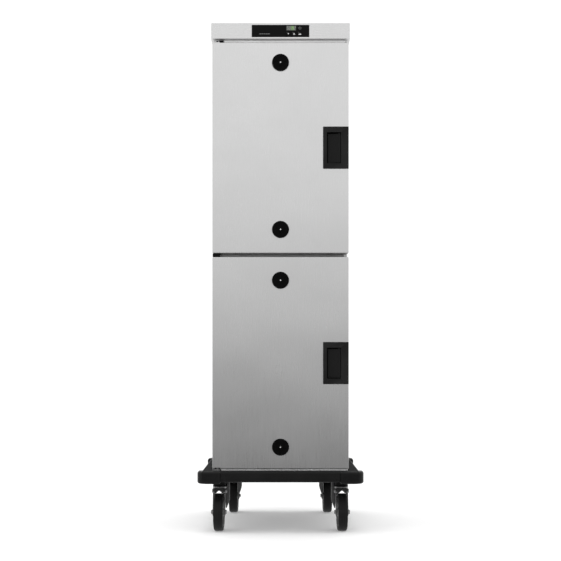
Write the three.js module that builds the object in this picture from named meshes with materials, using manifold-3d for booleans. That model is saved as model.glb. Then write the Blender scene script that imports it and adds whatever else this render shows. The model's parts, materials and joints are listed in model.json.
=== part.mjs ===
// Proofing cabinet: a tall two-door holding cabinet on four swivel casters.
// Millimetres, +Z up. The front faces -Y and +X is on the right of someone facing it.
// The origin is on the floor, under the middle of the base.

import * as THREE from 'three';
import { mergeVertices } from 'three/addons/utils/BufferGeometryUtils.js';
import Module from 'manifold-3d';

const wasm = await Module();
wasm.setup();

// ---------------------------------------------------------------- driving dimensions

const GAP = 0.3;
const SHEET = 1.2;
const OVERCUT = 1;
const SIDES = { hole: 10, pin: 14, shaft: 16, disc: 28, crown: 20, hub: 20, tyre: 32, arc: 5 };

const RAIL = { x: 261.5, y: 366, bottom: 167, top: 203 };
const DECK = { edge: 1, wall: 30, thick: 4, plateSize: 92, plateThick: 6 };
const CORNER = { x: 274, y: 372.5, bottom: 162, top: 202.5, reach: 78, arm: 26, radius: 40 };

const CASING = { x: 223, front: -278.5, back: 328, bottom: RAIL.top + GAP, top: 1620 };
const WALL = 45;
const CHAMBER = {
  x: CASING.x - WALL,
  back: CASING.back - WALL,
  floor: 248,
  ceiling: CASING.top - WALL,
};
const MID_RAIL = { bottom: 880, top: 950, depth: 45 };

const DOOR = { x: 225, front: -328.5, back: -284.5, rim: -290.5 };
const DOORS = {
  upper: { bottom: 921.6, top: 1617, vents: [1550.4, 999.5], handle: 1269.5 },
  lower: { bottom: 208, top: 908.8, vents: [831.9, 281.3], handle: 558.5 },
};
const DOORWAYS = {
  upper: { bottom: MID_RAIL.top, top: CHAMBER.ceiling },
  lower: { bottom: CHAMBER.floor, top: MID_RAIL.bottom },
};
const GASKET = { inset: 8, width: 16 };

const HINGE = { x: -209, y: -308.5, left: -224.4, right: -200.4, front: -322, pin: 4, reach: 14 };
const HINGE_BORE = { radius: HINGE.pin + 0.6, top: HINGE.reach + 2, bottom: 26 };
const HINGE_PLAY = { top: 0.6, middle: 1.2, bottom: 0.8 };
const HINGE_LUG = { left: -214, gap: 0.4, below: 2, above: 8 };
const HINGE_BOSS = { radius: 9, top: 212 };
const HINGE_NOTCH = { right: -196, back: -296, top: 213.2 };

const HANDLE = { left: 140.5, height: 139, proud: 2.5, bodyLeft: 146.3, bodyHeight: 131.4, bodyBack: -300 };
const POCKET = { left: 153.6, right: 199.8, height: 102, floor: -304 };
const PADDLE = { leftFace: -320.5, rightFace: -327.5, thick: 4, pivotX: 194, pivotY: -322 };
const PADDLE_PIVOT = { boss: 4, pin: 2.5, bore: 2.9, reach: 4.2 };

const VENT = { radius: 28, face: -334.5, seat: -330.3, post: 4, postEnd: -312 };
const VENT_HOLES = { radius: 5.5, ring: 15, count: 4 };

const CAP = { x: 229.3, front: DOOR.front, back: 334, bottom: 1630.6, top: 1682, sheet: 2 };
const NECK = { x: 214.5, front: -308, back: 322, bottom: CASING.top + GAP };

const FASCIA = { x: 94.3, bottom: 1635.2, top: 1674.1, proud: 0.8, back: -324.3, lip: 2.5 };
const DISPLAY = { left: 19.1, right: 51.5, bottom: 1656.3, top: 1672.5 };
const KEY = { width: 14, height: 11.4, proud: 0.6, flange: 17, flangeHeight: 13.6, flangeThick: 1.5 };
const KEYS = {
  timer_key: { x: 25.7, z: 1646 },
  fan_key: { x: 44.9, z: 1646 },
  humidity_key: { x: 64, z: 1646 },
  power_key: { x: 64, z: 1664.5 },
};
const CONTROL_BOX = { x: 88, front: -319, back: -240, bottom: 1638 };

const LEVELS = [365, 453, 541, 629, 717, 805, 965, 1065, 1165, 1265, 1365, 1465];
const RUNNER = { tip: 152, web: 165.2, post: 167.7, height: 16, thick: 2, front: -228, back: 250 };
const POST = { places: [-215, 11, 237], width: 12, overlap: 0.5 };

const HEATER = { x: 120, front: -150, back: 150, bottom: 248.6, top: 325 };
const WATER_PAN = { x: 100, front: -110, back: 50, floor: 290 };
const BAFFLE = { x: 150, front: 262, bottom: 350, top: 1560, slots: 12, slotX: 60, slotHeight: 8 };
const SPACER = { inset: 30, radius: 6 };

// The wheel's centre is one trail in front of the swivel axis.
const CASTER = { wheelRadius: 62.5, tread: 32, trail: 38, crownTop: 150, crownBottom: 141 };
const BOSS = { tip: 22.6, neck: 23.5, flange: 24, flangeThick: 3, taper: 1 };
const CROWN = { radius: 23, recess: 6.5, nutRadius: 8, nutDrop: 10 };
const FORK = { half: 18, leg: 2.5, front: 25, back: -30, legRadius: 14, shoulder: 6 };
const FORK_NOSE = { length: 9, drop: 22 };
const FORK_HEEL = { inset: 3, drop: 18 };
// Inner outline of the fork's arch, from the leg up to the middle of the crown.
const ARCH = [[18, 112], [17.2, 119.5], [15.6, 121.5], [14, 123.3], [11.8, 124.6], [8, 128.5], [0, 134]];
const LOCK = { inner: 20, outer: 33, waist: 23, back: 2, front: 14, bottom: 72, knee: 100, top: 163 };
const AXLE = { radius: 5, bore: 5.3, legBore: 5.4, headRadius: 8, headThick: 4.8, tailRadius: 4, tail: 1.5 };
const HUB = { boss: 13, web: 15, webHalf: 6, rimWeb: 41, rimWebHalf: 5, flange: 44, radius: 49, inset: 2 };
const TYRE = { bead: 1, wall: 9, shoulder: 3, shoulderInset: 1.5, crownInset: 5 };
const CASTERS = {
  front_left: { x: -204, y: -248, turn: -1.5, armSide: 1 },
  front_right: { x: 204, y: -248, turn: 1.5, armSide: -1 },
  rear_left: { x: -177, y: 271, turn: 178.7, armSide: -1 },
  rear_right: { x: 177, y: 271, turn: 181.3, armSide: 1 },
};

const INLET = { x: 130, z: 300, width: 60, height: 40, depth: 22, recess: 18, mouthX: 27, mouthZ: 20 };
const BLADE = { width: 4, height: 2, inset: 7, places: [[-8, -3], [8, -3], [0, 4]] };

// ---------------------------------------------------------------- finishes

const finish = (color, roughness, metalness) =>
  new THREE.MeshStandardMaterial({ color, roughness, metalness });

const STEEL = finish(0xc6c8ca, 0.38, 1);
const INNER_STEEL = finish(0xb4b6b8, 0.45, 1);
const ZINC = finish(0x9fa2a5, 0.4, 1);
const CHASSIS = finish(0x8b8e91, 0.5, 1);
const BLACK_PLASTIC = finish(0x1d1d1e, 0.55, 0);
const BLACK_PANEL = finish(0x101011, 0.25, 0);
const DIAL_PLASTIC = finish(0x161617, 0.5, 0);
const RUBBER = finish(0x1a1a1b, 0.8, 0);
const HUB_PLASTIC = finish(0x3a3b3d, 0.6, 0);
const FOAM = finish(0xd9cfa8, 0.95, 0);
const SEAL = finish(0x2a2a2b, 0.85, 0);
const LCD = finish(0x7d8c74, 0.3, 0);
const KEY_PLASTIC = finish(0x1a1a1b, 0.4, 0);

// ---------------------------------------------------------------- solids

// A closed three.js geometry as a solid that can be cut and joined.
function toSolid(geometry) {
  const bare = geometry.index ? geometry.clone() : geometry;
  bare.deleteAttribute('normal');
  bare.deleteAttribute('uv');
  const merged = mergeVertices(bare, 1e-4);
  const mesh = new wasm.Mesh({
    numProp: 3,
    vertProperties: new Float32Array(merged.attributes.position.array),
    triVerts: new Uint32Array(merged.index.array),
  });
  return new wasm.Manifold(mesh);
}

function toGeometry(solid) {
  const mesh = solid.getMesh();
  const geometry = new THREE.BufferGeometry();
  geometry.setAttribute('position', new THREE.BufferAttribute(mesh.vertProperties, 3));
  geometry.setIndex(new THREE.BufferAttribute(mesh.triVerts, 1));
  geometry.computeVertexNormals();
  return geometry;
}

const join = (first, ...others) => others.reduce((sum, solid) => sum.add(solid), first);
const cut = (first, ...others) => others.reduce((rest, solid) => rest.subtract(solid), first);

// A box between two corners.
function block([x0, y0, z0], [x1, y1, z1]) {
  const geometry = new THREE.BoxGeometry(x1 - x0, y1 - y0, z1 - z0);
  geometry.translate((x0 + x1) / 2, (y0 + y1) / 2, (z0 + z1) / 2);
  return toSolid(geometry);
}

// A cylinder along one axis, from one end to the other, through the point (a, b) of the other two axes.
function rod(axis, [a, b], radius, from, to, sides = SIDES.shaft) {
  const geometry = new THREE.CylinderGeometry(radius, radius, to - from, sides);
  geometry.translate(0, (from + to) / 2, 0);
  if (axis === 'x') {
    geometry.rotateZ(-Math.PI / 2).translate(0, a, b);
  } else if (axis === 'y') {
    geometry.translate(a, 0, b);
  } else {
    geometry.rotateX(Math.PI / 2).translate(a, b, 0);
  }
  return toSolid(geometry);
}

function swept(shape, depth, curveSegments = SIDES.arc) {
  return new THREE.ExtrudeGeometry(shape, { depth, bevelEnabled: false, curveSegments });
}

// An outline in the YZ plane, extruded along X.
function prismX(shape, from, to) {
  const geometry = swept(shape, to - from);
  const basis = new THREE.Matrix4().makeBasis(
    new THREE.Vector3(0, 1, 0),
    new THREE.Vector3(0, 0, 1),
    new THREE.Vector3(1, 0, 0),
  );
  geometry.applyMatrix4(basis).translate(from, 0, 0);
  return toSolid(geometry);
}

// An outline in the XZ plane, extruded along Y.
function prismY(shape, from, to) {
  const geometry = swept(shape, to - from);
  geometry.rotateX(Math.PI / 2).translate(0, to, 0);
  return toSolid(geometry);
}

// An outline in the XY plane, extruded along Z.
function prismZ(shape, from, to) {
  const geometry = swept(shape, to - from);
  geometry.translate(0, 0, from);
  return toSolid(geometry);
}

// A closed profile of [radius, height] points, turned about the Z axis.
function turned(profile, sides) {
  const points = profile.map(([radius, height]) => new THREE.Vector2(radius, height));
  return new THREE.LatheGeometry(points, sides).rotateX(Math.PI / 2);
}

const model = new THREE.Group();

function addPiece(name, shape, material, parent = model) {
  const geometry = shape instanceof THREE.BufferGeometry ? shape : toGeometry(shape);
  const mesh = new THREE.Mesh(geometry, material);
  mesh.name = name;
  parent.add(mesh);
  return mesh;
}

// ---------------------------------------------------------------- base

// Steel chassis: a deck on four rails, with a mounting plate in each corner.
function baseFrame() {
  const { edge, wall, thick, plateSize, plateThick } = DECK;
  const x = CASING.x - edge;
  const front = CASING.front + edge;
  const back = CASING.back - edge;
  const body = block([-x, front, RAIL.bottom], [x, back, RAIL.top]);
  const hollow = block(
    [-x + wall, front + wall, RAIL.bottom - OVERCUT],
    [x - wall, back - wall, RAIL.top - thick],
  );
  const plates = [-x, x - plateSize].flatMap((left) => [front, back - plateSize].map((near) => block(
    [left, near, RAIL.bottom],
    [left + plateSize, near + plateSize, RAIL.bottom + plateThick],
  )));
  return join(cut(body, hollow), ...plates);
}

// Plastic ring that fills the space between the casing and the outer edge of the base.
function baseBumper() {
  const inner = CASING.x - DECK.edge + GAP;
  const front = CASING.front + DECK.edge - GAP;
  const back = CASING.back - DECK.edge + GAP;
  return cut(
    block([-RAIL.x, -RAIL.y, RAIL.bottom], [RAIL.x, RAIL.y, RAIL.top]),
    block([-inner, front, RAIL.bottom - OVERCUT], [inner, back, RAIL.top + OVERCUT]),
  );
}

// L-shaped corner guard that clips over the ring's corner. It is drawn for the rear right and then turned.
function bumperCorner(sideX, sideY, quarterTurns) {
  const { reach, arm, radius } = CORNER;
  const outline = new THREE.Shape();
  outline.moveTo(-reach, 0);
  outline.lineTo(-reach, -arm);
  outline.lineTo(-arm, -arm);
  outline.lineTo(-arm, -reach);
  outline.lineTo(0, -reach);
  outline.lineTo(0, -radius);
  outline.absarc(-radius, -radius, radius, 0, Math.PI / 2, false);
  outline.lineTo(-reach, 0);
  const geometry = swept(outline, CORNER.top - CORNER.bottom, 2 * SIDES.arc);
  geometry.rotateZ(quarterTurns * Math.PI / 2);
  geometry.translate(sideX * CORNER.x, sideY * CORNER.y, CORNER.bottom);
  const ring = block(
    [-RAIL.x - GAP, -RAIL.y - GAP, RAIL.bottom - GAP],
    [RAIL.x + GAP, RAIL.y + GAP, RAIL.top + GAP],
  );
  return cut(toSolid(geometry), ring);
}

// ---------------------------------------------------------------- casters

// Fixed boss under the chassis that holds the swivel's race.
function casterBoss() {
  const top = RAIL.bottom - GAP;
  const bottom = CASTER.crownTop + GAP;
  const flangeBottom = top - BOSS.flangeThick;
  return turned([
    [0, bottom], [BOSS.tip, bottom], [BOSS.neck, flangeBottom - BOSS.taper],
    [BOSS.flange, flangeBottom], [BOSS.flange, top], [0, top],
  ], SIDES.crown);
}

// Side outline of the fork: wide at the crown and round at the axle.
function forkSide() {
  const { front, back, legRadius } = FORK;
  const top = CASTER.crownBottom + GAP;
  const side = new THREE.Shape();
  side.moveTo(front, top);
  side.lineTo(back, top);
  side.lineTo(back - FORK_NOSE.length, CASTER.crownBottom - FORK_NOSE.drop);
  side.lineTo(-CASTER.trail - legRadius, CASTER.wheelRadius);
  side.absarc(-CASTER.trail, CASTER.wheelRadius, legRadius, Math.PI, 2 * Math.PI, false);
  side.lineTo(front - FORK_HEEL.inset, CASTER.crownBottom - FORK_HEEL.drop);
  side.closePath();
  return side;
}

// Front outline of the fork: two legs under an arch with round shoulders.
function forkArch() {
  const { half, leg, shoulder, legRadius } = FORK;
  const outer = half + leg;
  const bottom = CASTER.wheelRadius - legRadius - OVERCUT;
  const top = CASTER.crownBottom + GAP;
  const arch = new THREE.Shape();
  arch.moveTo(-outer, bottom);
  arch.lineTo(-half, bottom);
  ARCH.forEach(([x, z]) => arch.lineTo(-x, z));
  ARCH.slice(0, -1).reverse().forEach(([x, z]) => arch.lineTo(x, z));
  arch.lineTo(half, bottom);
  arch.lineTo(outer, bottom);
  arch.lineTo(outer, top - shoulder);
  arch.absarc(outer - shoulder, top - shoulder, shoulder, 0, Math.PI / 2, false);
  arch.absarc(-outer + shoulder, top - shoulder, shoulder, Math.PI / 2, Math.PI, false);
  arch.closePath();
  return arch;
}

// Arm of the swivel lock beside one leg of the fork: tall at the crown, narrow at the axle.
function lockArm(side) {
  const { inner, outer, waist, back, front, bottom, knee, top } = LOCK;
  const arm = new THREE.Shape();
  arm.moveTo(side * inner, bottom);
  arm.lineTo(side * waist, bottom);
  arm.lineTo(side * outer, knee);
  arm.lineTo(side * outer, top);
  arm.lineTo(side * (BOSS.flange + GAP), top);
  arm.lineTo(side * (BOSS.flange + GAP), CASTER.crownTop);
  arm.lineTo(side * inner, CASTER.crownBottom);
  arm.closePath();
  return prismY(arm, back, front);
}

// Swivel fork with its crown ring, the nut of the king pin and the arm of its swivel lock.
function casterFork(armSide) {
  const { radius, recess, nutRadius, nutDrop } = CROWN;
  const crownFoot = CASTER.crownBottom - recess;
  const crown = toSolid(turned(
    [[0, crownFoot], [radius, crownFoot], [radius, CASTER.crownTop], [0, CASTER.crownTop]],
    SIDES.crown,
  ));
  const nut = rod('z', [0, 0], nutRadius, CASTER.crownBottom - nutDrop, CASTER.crownBottom, 6);
  const reach = FORK.half + FORK.leg + OVERCUT;
  const legs = prismY(forkArch(), -CASTER.trail - FORK.legRadius - OVERCUT, FORK.front)
    .intersect(prismX(forkSide(), -reach, reach));
  const hole = rod('x', [-CASTER.trail, CASTER.wheelRadius], AXLE.legBore, -reach, reach);
  return join(cut(join(legs, crown, nut), hole), lockArm(armSide));
}

// Axle bolt with a hexagonal head at one end and its nut at the other.
function casterAxle() {
  const { radius, headRadius, headThick, tailRadius, tail } = AXLE;
  const end = FORK.half + FORK.leg + GAP;
  const centre = [-CASTER.trail, CASTER.wheelRadius];
  return join(
    rod('x', centre, radius, -end - OVERCUT, end + OVERCUT),
    rod('x', centre, headRadius, end, end + headThick, 6),
    rod('x', centre, headRadius, -end - headThick, -end, 6),
    rod('x', centre, tailRadius, -end - headThick - tail, -end, SIDES.hole),
  );
}

function placeOnAxle(geometry) {
  return geometry.rotateY(Math.PI / 2).translate(0, -CASTER.trail, CASTER.wheelRadius);
}

// A half profile of [radius, distance from the wheel's middle] points, mirrored to a closed one.
function wheelProfile(points) {
  const far = points.map(([radius, side]) => [radius, -side]);
  return [...far, ...points.reverse(), far[0]];
}

// Wheel centre: hub, web and rim in one moulding.
function casterHub() {
  const { boss, web, webHalf, rimWeb, rimWebHalf, flange, radius, inset } = HUB;
  const half = CASTER.tread / 2;
  return placeOnAxle(turned(wheelProfile([
    [AXLE.bore, half], [boss, half], [web, webHalf], [rimWeb, rimWebHalf],
    [flange, half - inset], [radius, half - inset],
  ]), SIDES.hub));
}

// Tyre with rounded shoulders.
function casterTyre() {
  const { bead, wall, shoulder, shoulderInset, crownInset } = TYRE;
  const half = CASTER.tread / 2;
  const outer = CASTER.wheelRadius;
  return placeOnAxle(turned(wheelProfile([
    [HUB.radius + GAP, half - bead], [outer - wall, half],
    [outer - shoulder, half - shoulderInset], [outer, half - crownInset],
  ]), SIDES.tyre));
}

function addCaster(place, { x, y, turn, armSide }) {
  const caster = new THREE.Group();
  caster.position.set(x, y, 0);
  caster.rotation.z = THREE.MathUtils.degToRad(turn);
  addPiece(`caster_boss_${place}`, casterBoss(), BLACK_PLASTIC, caster);
  addPiece(`caster_fork_${place}`, casterFork(armSide), ZINC, caster);
  addPiece(`caster_axle_${place}`, casterAxle(), ZINC, caster);
  addPiece(`caster_hub_${place}`, casterHub(), HUB_PLASTIC, caster);
  addPiece(`caster_tyre_${place}`, casterTyre(), RUBBER, caster);
  model.add(caster);
}

// ---------------------------------------------------------------- cabinet

// Openings of both doorways, from one depth to another.
function doorwayCuts(front, back) {
  return Object.values(DOORWAYS).map(({ bottom, top }) =>
    block([-CHAMBER.x, front, bottom], [CHAMBER.x, back, top]));
}

// Folded outer skin, closed in front by a face frame round the doorways.
function outerCasing() {
  const { x, front, back, bottom, top } = CASING;
  return cut(
    block([-x, front, bottom], [x, back, top]),
    block([-x + SHEET, front + SHEET, bottom + SHEET], [x - SHEET, back - SHEET, top - SHEET]),
    ...doorwayCuts(front - OVERCUT, front + SHEET + OVERCUT),
  );
}

// Foam between the skin and the liner.
function insulation() {
  const skin = SHEET + GAP;
  const front = CASING.front + skin;
  return cut(
    block(
      [-CASING.x + skin, front, CASING.bottom + skin],
      [CASING.x - skin, CASING.back - skin, CASING.top - skin],
    ),
    block(
      [-CHAMBER.x - skin, front - OVERCUT, CHAMBER.floor - skin],
      [CHAMBER.x + skin, CHAMBER.back + skin, CHAMBER.ceiling + skin],
    ),
  );
}

// Chamber of the cabinet, open in front.
function innerLiner() {
  const { x, back, floor, ceiling } = CHAMBER;
  const front = CASING.front + SHEET + GAP;
  return cut(
    block([-x - SHEET, front, floor - SHEET], [x + SHEET, back + SHEET, ceiling + SHEET]),
    block([-x, front - OVERCUT, floor], [x, back, ceiling]),
  );
}

// Beam between the doorways.
function midRail() {
  const front = CASING.front + SHEET + GAP;
  return block(
    [-CHAMBER.x + GAP, front, MID_RAIL.bottom],
    [CHAMBER.x - GAP, CASING.front + MID_RAIL.depth, MID_RAIL.top],
  );
}

// Tray slide: posts against the wall and one angle runner for each level.
function rack(side) {
  const between = (a, b) => [Math.min(side * a, side * b), Math.max(side * a, side * b)];
  const [postLeft, postRight] = between(RUNNER.post, CHAMBER.x - GAP);
  const posts = POST.places.map((y) => block(
    [postLeft, y - POST.width / 2, CHAMBER.floor + GAP],
    [postRight, y + POST.width / 2, CHAMBER.ceiling - GAP],
  ));
  const [webLeft, webRight] = between(RUNNER.web, RUNNER.post + POST.overlap);
  const [legLeft, legRight] = between(RUNNER.tip, RUNNER.post);
  const runners = LEVELS.flatMap((z) => [
    block([webLeft, RUNNER.front, z], [webRight, RUNNER.back, z + RUNNER.height]),
    block([legLeft, RUNNER.front, z], [legRight, RUNNER.back, z + RUNNER.thick]),
  ]);
  return join(...posts, ...runners);
}

// Heater and fan housing on the chamber floor, with the water pan in its top.
function heaterUnit() {
  const { x, front, back, bottom, top } = HEATER;
  return cut(
    block([-x, front, bottom], [x, back, top]),
    block([-WATER_PAN.x, WATER_PAN.front, WATER_PAN.floor], [WATER_PAN.x, WATER_PAN.back, top + OVERCUT]),
  );
}

// Slotted sheet that spreads the warm air, held off the back wall by four spacers.
function airBaffle() {
  const { x, front, bottom, top, slots, slotX, slotHeight } = BAFFLE;
  const sheet = block([-x, front, bottom], [x, front + SHEET, top]);
  const pitch = (top - bottom) / slots;
  const cuts = Array.from({ length: slots }, (_, i) => {
    const z = bottom + (i + 0.5) * pitch;
    return block(
      [-slotX, front - OVERCUT, z - slotHeight / 2],
      [slotX, front + SHEET + OVERCUT, z + slotHeight / 2],
    );
  });
  const { inset, radius } = SPACER;
  const spacers = [-1, 1].flatMap((side) => [bottom + inset, top - inset].map((z) =>
    rod('y', [side * (x - inset), z], radius, front + SHEET / 2, CHAMBER.back - GAP, SIDES.hole)));
  return join(cut(sheet, ...cuts), ...spacers);
}

// Power inlet on the back wall: a flanged block with a recess and three blades.
function powerInlet() {
  const { x, z, width, height, depth, recess, mouthX, mouthZ } = INLET;
  const wall = CASING.back + GAP;
  const face = wall + depth;
  const blades = BLADE.places.map(([dx, dz]) => block(
    [x + dx - BLADE.width / 2, face - recess - OVERCUT, z + dz - BLADE.height / 2],
    [x + dx + BLADE.width / 2, face - BLADE.inset, z + dz + BLADE.height / 2],
  ));
  const housing = cut(
    block([x - width / 2, wall, z - height / 2], [x + width / 2, face, z + height / 2]),
    block(
      [x - mouthX / 2, face - recess, z - mouthZ / 2],
      [x + mouthX / 2, face + OVERCUT, z + mouthZ / 2],
    ),
  );
  return join(housing, ...blades);
}

// ---------------------------------------------------------------- top and controls

// Overhanging top with a narrower neck below it, hollow and open underneath.
function topCap() {
  const s = CAP.sheet;
  const shell = join(
    block([-CAP.x, CAP.front, CAP.bottom], [CAP.x, CAP.back, CAP.top]),
    block([-NECK.x, NECK.front, NECK.bottom], [NECK.x, NECK.back, CAP.bottom + s]),
  );
  return cut(
    shell,
    block([-CAP.x + s, CAP.front + s, CAP.bottom + s], [CAP.x - s, CAP.back - s, CAP.top - s]),
    block(
      [-NECK.x + s, NECK.front + s, NECK.bottom - OVERCUT],
      [NECK.x - s, NECK.back - s, CAP.bottom + 2 * s],
    ),
    block(
      [-FASCIA.x - GAP, CAP.front - OVERCUT, FASCIA.bottom - GAP],
      [FASCIA.x + GAP, CAP.front + s + OVERCUT, FASCIA.top + GAP],
    ),
  );
}

// Black front panel with a lip behind the cap's wall, and holes for the keys and the display.
function controlFascia() {
  const front = CAP.front - FASCIA.proud;
  const wallBack = CAP.front + CAP.sheet + GAP;
  const plate = block([-FASCIA.x, front, FASCIA.bottom], [FASCIA.x, FASCIA.back, FASCIA.top]);
  const lip = block(
    [-FASCIA.x - FASCIA.lip, wallBack, FASCIA.bottom - FASCIA.lip],
    [FASCIA.x + FASCIA.lip, FASCIA.back, FASCIA.top + FASCIA.lip],
  );
  const keyHoles = Object.values(KEYS).map(({ x, z }) => block(
    [x - KEY.width / 2 - GAP, front - OVERCUT, z - KEY.height / 2 - GAP],
    [x + KEY.width / 2 + GAP, FASCIA.back + OVERCUT, z + KEY.height / 2 + GAP],
  ));
  const window = block(
    [DISPLAY.left - GAP, front - OVERCUT, DISPLAY.bottom - GAP],
    [DISPLAY.right + GAP, FASCIA.back + OVERCUT, DISPLAY.top + GAP],
  );
  return cut(join(plate, lip), ...keyHoles, window);
}

function displayWindow() {
  const front = CAP.front - FASCIA.proud;
  return block([DISPLAY.left, front, DISPLAY.bottom], [DISPLAY.right, FASCIA.back, DISPLAY.top]);
}

// Key with a flange behind the fascia that stops it from falling out.
function controlKey({ x, z }) {
  const front = CAP.front - FASCIA.proud - KEY.proud;
  const flangeFront = FASCIA.back + GAP;
  const flangeBack = flangeFront + KEY.flangeThick;
  return join(
    block(
      [x - KEY.width / 2, front, z - KEY.height / 2],
      [x + KEY.width / 2, flangeBack, z + KEY.height / 2],
    ),
    block(
      [x - KEY.flange / 2, flangeFront, z - KEY.flangeHeight / 2],
      [x + KEY.flange / 2, flangeBack, z + KEY.flangeHeight / 2],
    ),
  );
}

function controlBox() {
  const { x, front, back, bottom } = CONTROL_BOX;
  const top = CAP.top - CAP.sheet - GAP;
  return block([-x, front, bottom], [x, back, top]);
}

// ---------------------------------------------------------------- hinges

const hingePin = (from, to) => rod('z', [HINGE.x, HINGE.y], HINGE.pin, from, to, SIDES.pin);

function hingePlate(bottom, top) {
  return block([HINGE.left, HINGE.front, bottom], [HINGE.right, CASING.front - GAP, top]);
}

// Upper bracket: a plate under the neck, a lug in front of it and the pin that hangs down.
function hingeTop() {
  const { top } = DOORS.upper;
  const { left, gap, below, above } = HINGE_LUG;
  const plateTop = NECK.bottom - GAP;
  const lug = block(
    [left, HINGE.front, plateTop - below],
    [HINGE.right, NECK.front - gap, plateTop + above],
  );
  return join(
    hingePlate(top + HINGE_PLAY.top, plateTop),
    lug,
    hingePin(top - HINGE.reach, plateTop - OVERCUT),
  );
}

// Middle bracket with a pin up into one door and down into the other.
function hingeMiddle() {
  const bottom = DOORS.lower.top + HINGE_PLAY.middle;
  const top = DOORS.upper.bottom - HINGE_PLAY.middle;
  return join(hingePlate(bottom, top), hingePin(bottom - HINGE.reach, top + HINGE.reach));
}

// Lower bracket with a round boss that carries the lower door.
function hingeBottom() {
  const bottom = RAIL.top + GAP;
  const { radius, top } = HINGE_BOSS;
  const boss = rod('z', [HINGE.x, HINGE.y], radius, bottom + OVERCUT, top);
  const pin = hingePin(bottom + OVERCUT, top + HINGE.reach);
  return join(hingePlate(bottom, DOORS.lower.bottom - HINGE_PLAY.bottom), boss, pin);
}

// ---------------------------------------------------------------- doors

// Everything that passes through the door: hinge pins, vent holes and the handle's body.
function doorCuts(door, clearance) {
  const axis = [HINGE.x, HINGE.y];
  const { radius, top, bottom } = HINGE_BORE;
  const pinHoles = [
    rod('z', axis, radius, door.bottom - OVERCUT, door.bottom + bottom, SIDES.pin),
    rod('z', axis, radius, door.top - top, door.top + OVERCUT, SIDES.pin),
  ];
  const vents = door.vents.flatMap((z) => ventCuts(z));
  const half = HANDLE.bodyHeight / 2 + clearance;
  const handle = block(
    [HANDLE.bodyLeft - clearance, DOOR.front - OVERCUT, door.handle - half],
    [DOOR.x + OVERCUT, HANDLE.bodyBack + clearance, door.handle + half],
  );
  return [...pinHoles, handle, ...vents];
}

// Four air holes and the hole of the dial's post.
function ventCuts(z) {
  const holes = Array.from({ length: VENT_HOLES.count }, (_, i) => {
    const angle = (i + 0.5) * 2 * Math.PI / VENT_HOLES.count;
    const place = [VENT_HOLES.ring * Math.cos(angle), z + VENT_HOLES.ring * Math.sin(angle)];
    return rod('y', place, VENT_HOLES.radius, DOOR.front - OVERCUT, DOOR.back + OVERCUT, SIDES.hole);
  });
  const post = rod('y', [0, z], VENT.post + GAP, DOOR.front - OVERCUT, VENT.postEnd + 2, SIDES.hole);
  return [...holes, post];
}

// Corner cut-out of the lower door that clears the bottom hinge's boss.
function hingeNotch(door) {
  return block(
    [-DOOR.x - OVERCUT, DOOR.front - OVERCUT, door.bottom - OVERCUT],
    [HINGE_NOTCH.right, HINGE_NOTCH.back, HINGE_NOTCH.top],
  );
}

// Outer pan: a front sheet with four folded sides.
function doorShell(door) {
  const pan = cut(
    block([-DOOR.x, DOOR.front, door.bottom], [DOOR.x, DOOR.rim, door.top]),
    block(
      [-DOOR.x + SHEET, DOOR.front + SHEET, door.bottom + SHEET],
      [DOOR.x - SHEET, DOOR.rim + OVERCUT, door.top - SHEET],
    ),
    ...doorCuts(door, GAP),
  );
  return door === DOORS.lower ? cut(pan, hingeNotch(door)) : pan;
}

// Foam core with the inner pan that closes the back of the door.
function doorLiner(door) {
  const inset = SHEET + GAP;
  const core = block(
    [-DOOR.x + inset, DOOR.front + inset, door.bottom + inset],
    [DOOR.x - inset, DOOR.rim + 1, door.top - inset],
  );
  const pan = block(
    [-DOOR.x + 0.5, DOOR.rim + GAP, door.bottom + 0.5],
    [DOOR.x - 0.5, DOOR.back, door.top - 0.5],
  );
  const body = cut(join(core, pan), ...doorCuts(door, 2 * GAP));
  return door === DOORS.lower ? cut(body, hingeNotch(door)) : body;
}

// Seal round the doorway, on the door's back.
function doorGasket({ bottom, top }) {
  const inner = CHAMBER.x + GASKET.inset;
  const outer = inner + GASKET.width;
  const front = DOOR.back + GAP;
  const back = CASING.front - GAP;
  const rise = GASKET.inset + GASKET.width;
  return cut(
    block([-outer, front, bottom - rise], [outer, back, top + rise]),
    block([-inner, front - OVERCUT, bottom - GASKET.inset], [inner, back + OVERCUT, top + GASKET.inset]),
  );
}

// Moulded bezel and cup at the free edge of the door.
function handleBezel({ handle }) {
  const front = DOOR.front - HANDLE.proud;
  const bores = [-1, 1].map((side) => {
    const wall = handle + side * POCKET.height / 2;
    const end = wall + side * (PADDLE_PIVOT.reach + 1);
    const [from, to] = [Math.min(wall, end) - OVERCUT, Math.max(wall, end) + OVERCUT];
    return rod('z', [PADDLE.pivotX, PADDLE.pivotY], PADDLE_PIVOT.bore, from, to, SIDES.hole);
  });
  return cut(
    join(
      block(
        [HANDLE.left, front, handle - HANDLE.height / 2],
        [DOOR.x, DOOR.front - GAP, handle + HANDLE.height / 2],
      ),
      block(
        [HANDLE.bodyLeft, DOOR.front - OVERCUT, handle - HANDLE.bodyHeight / 2],
        [DOOR.x, HANDLE.bodyBack, handle + HANDLE.bodyHeight / 2],
      ),
    ),
    block(
      [POCKET.left, front - OVERCUT, handle - POCKET.height / 2],
      [POCKET.right, POCKET.floor, handle + POCKET.height / 2],
    ),
    ...bores,
  );
}

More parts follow.
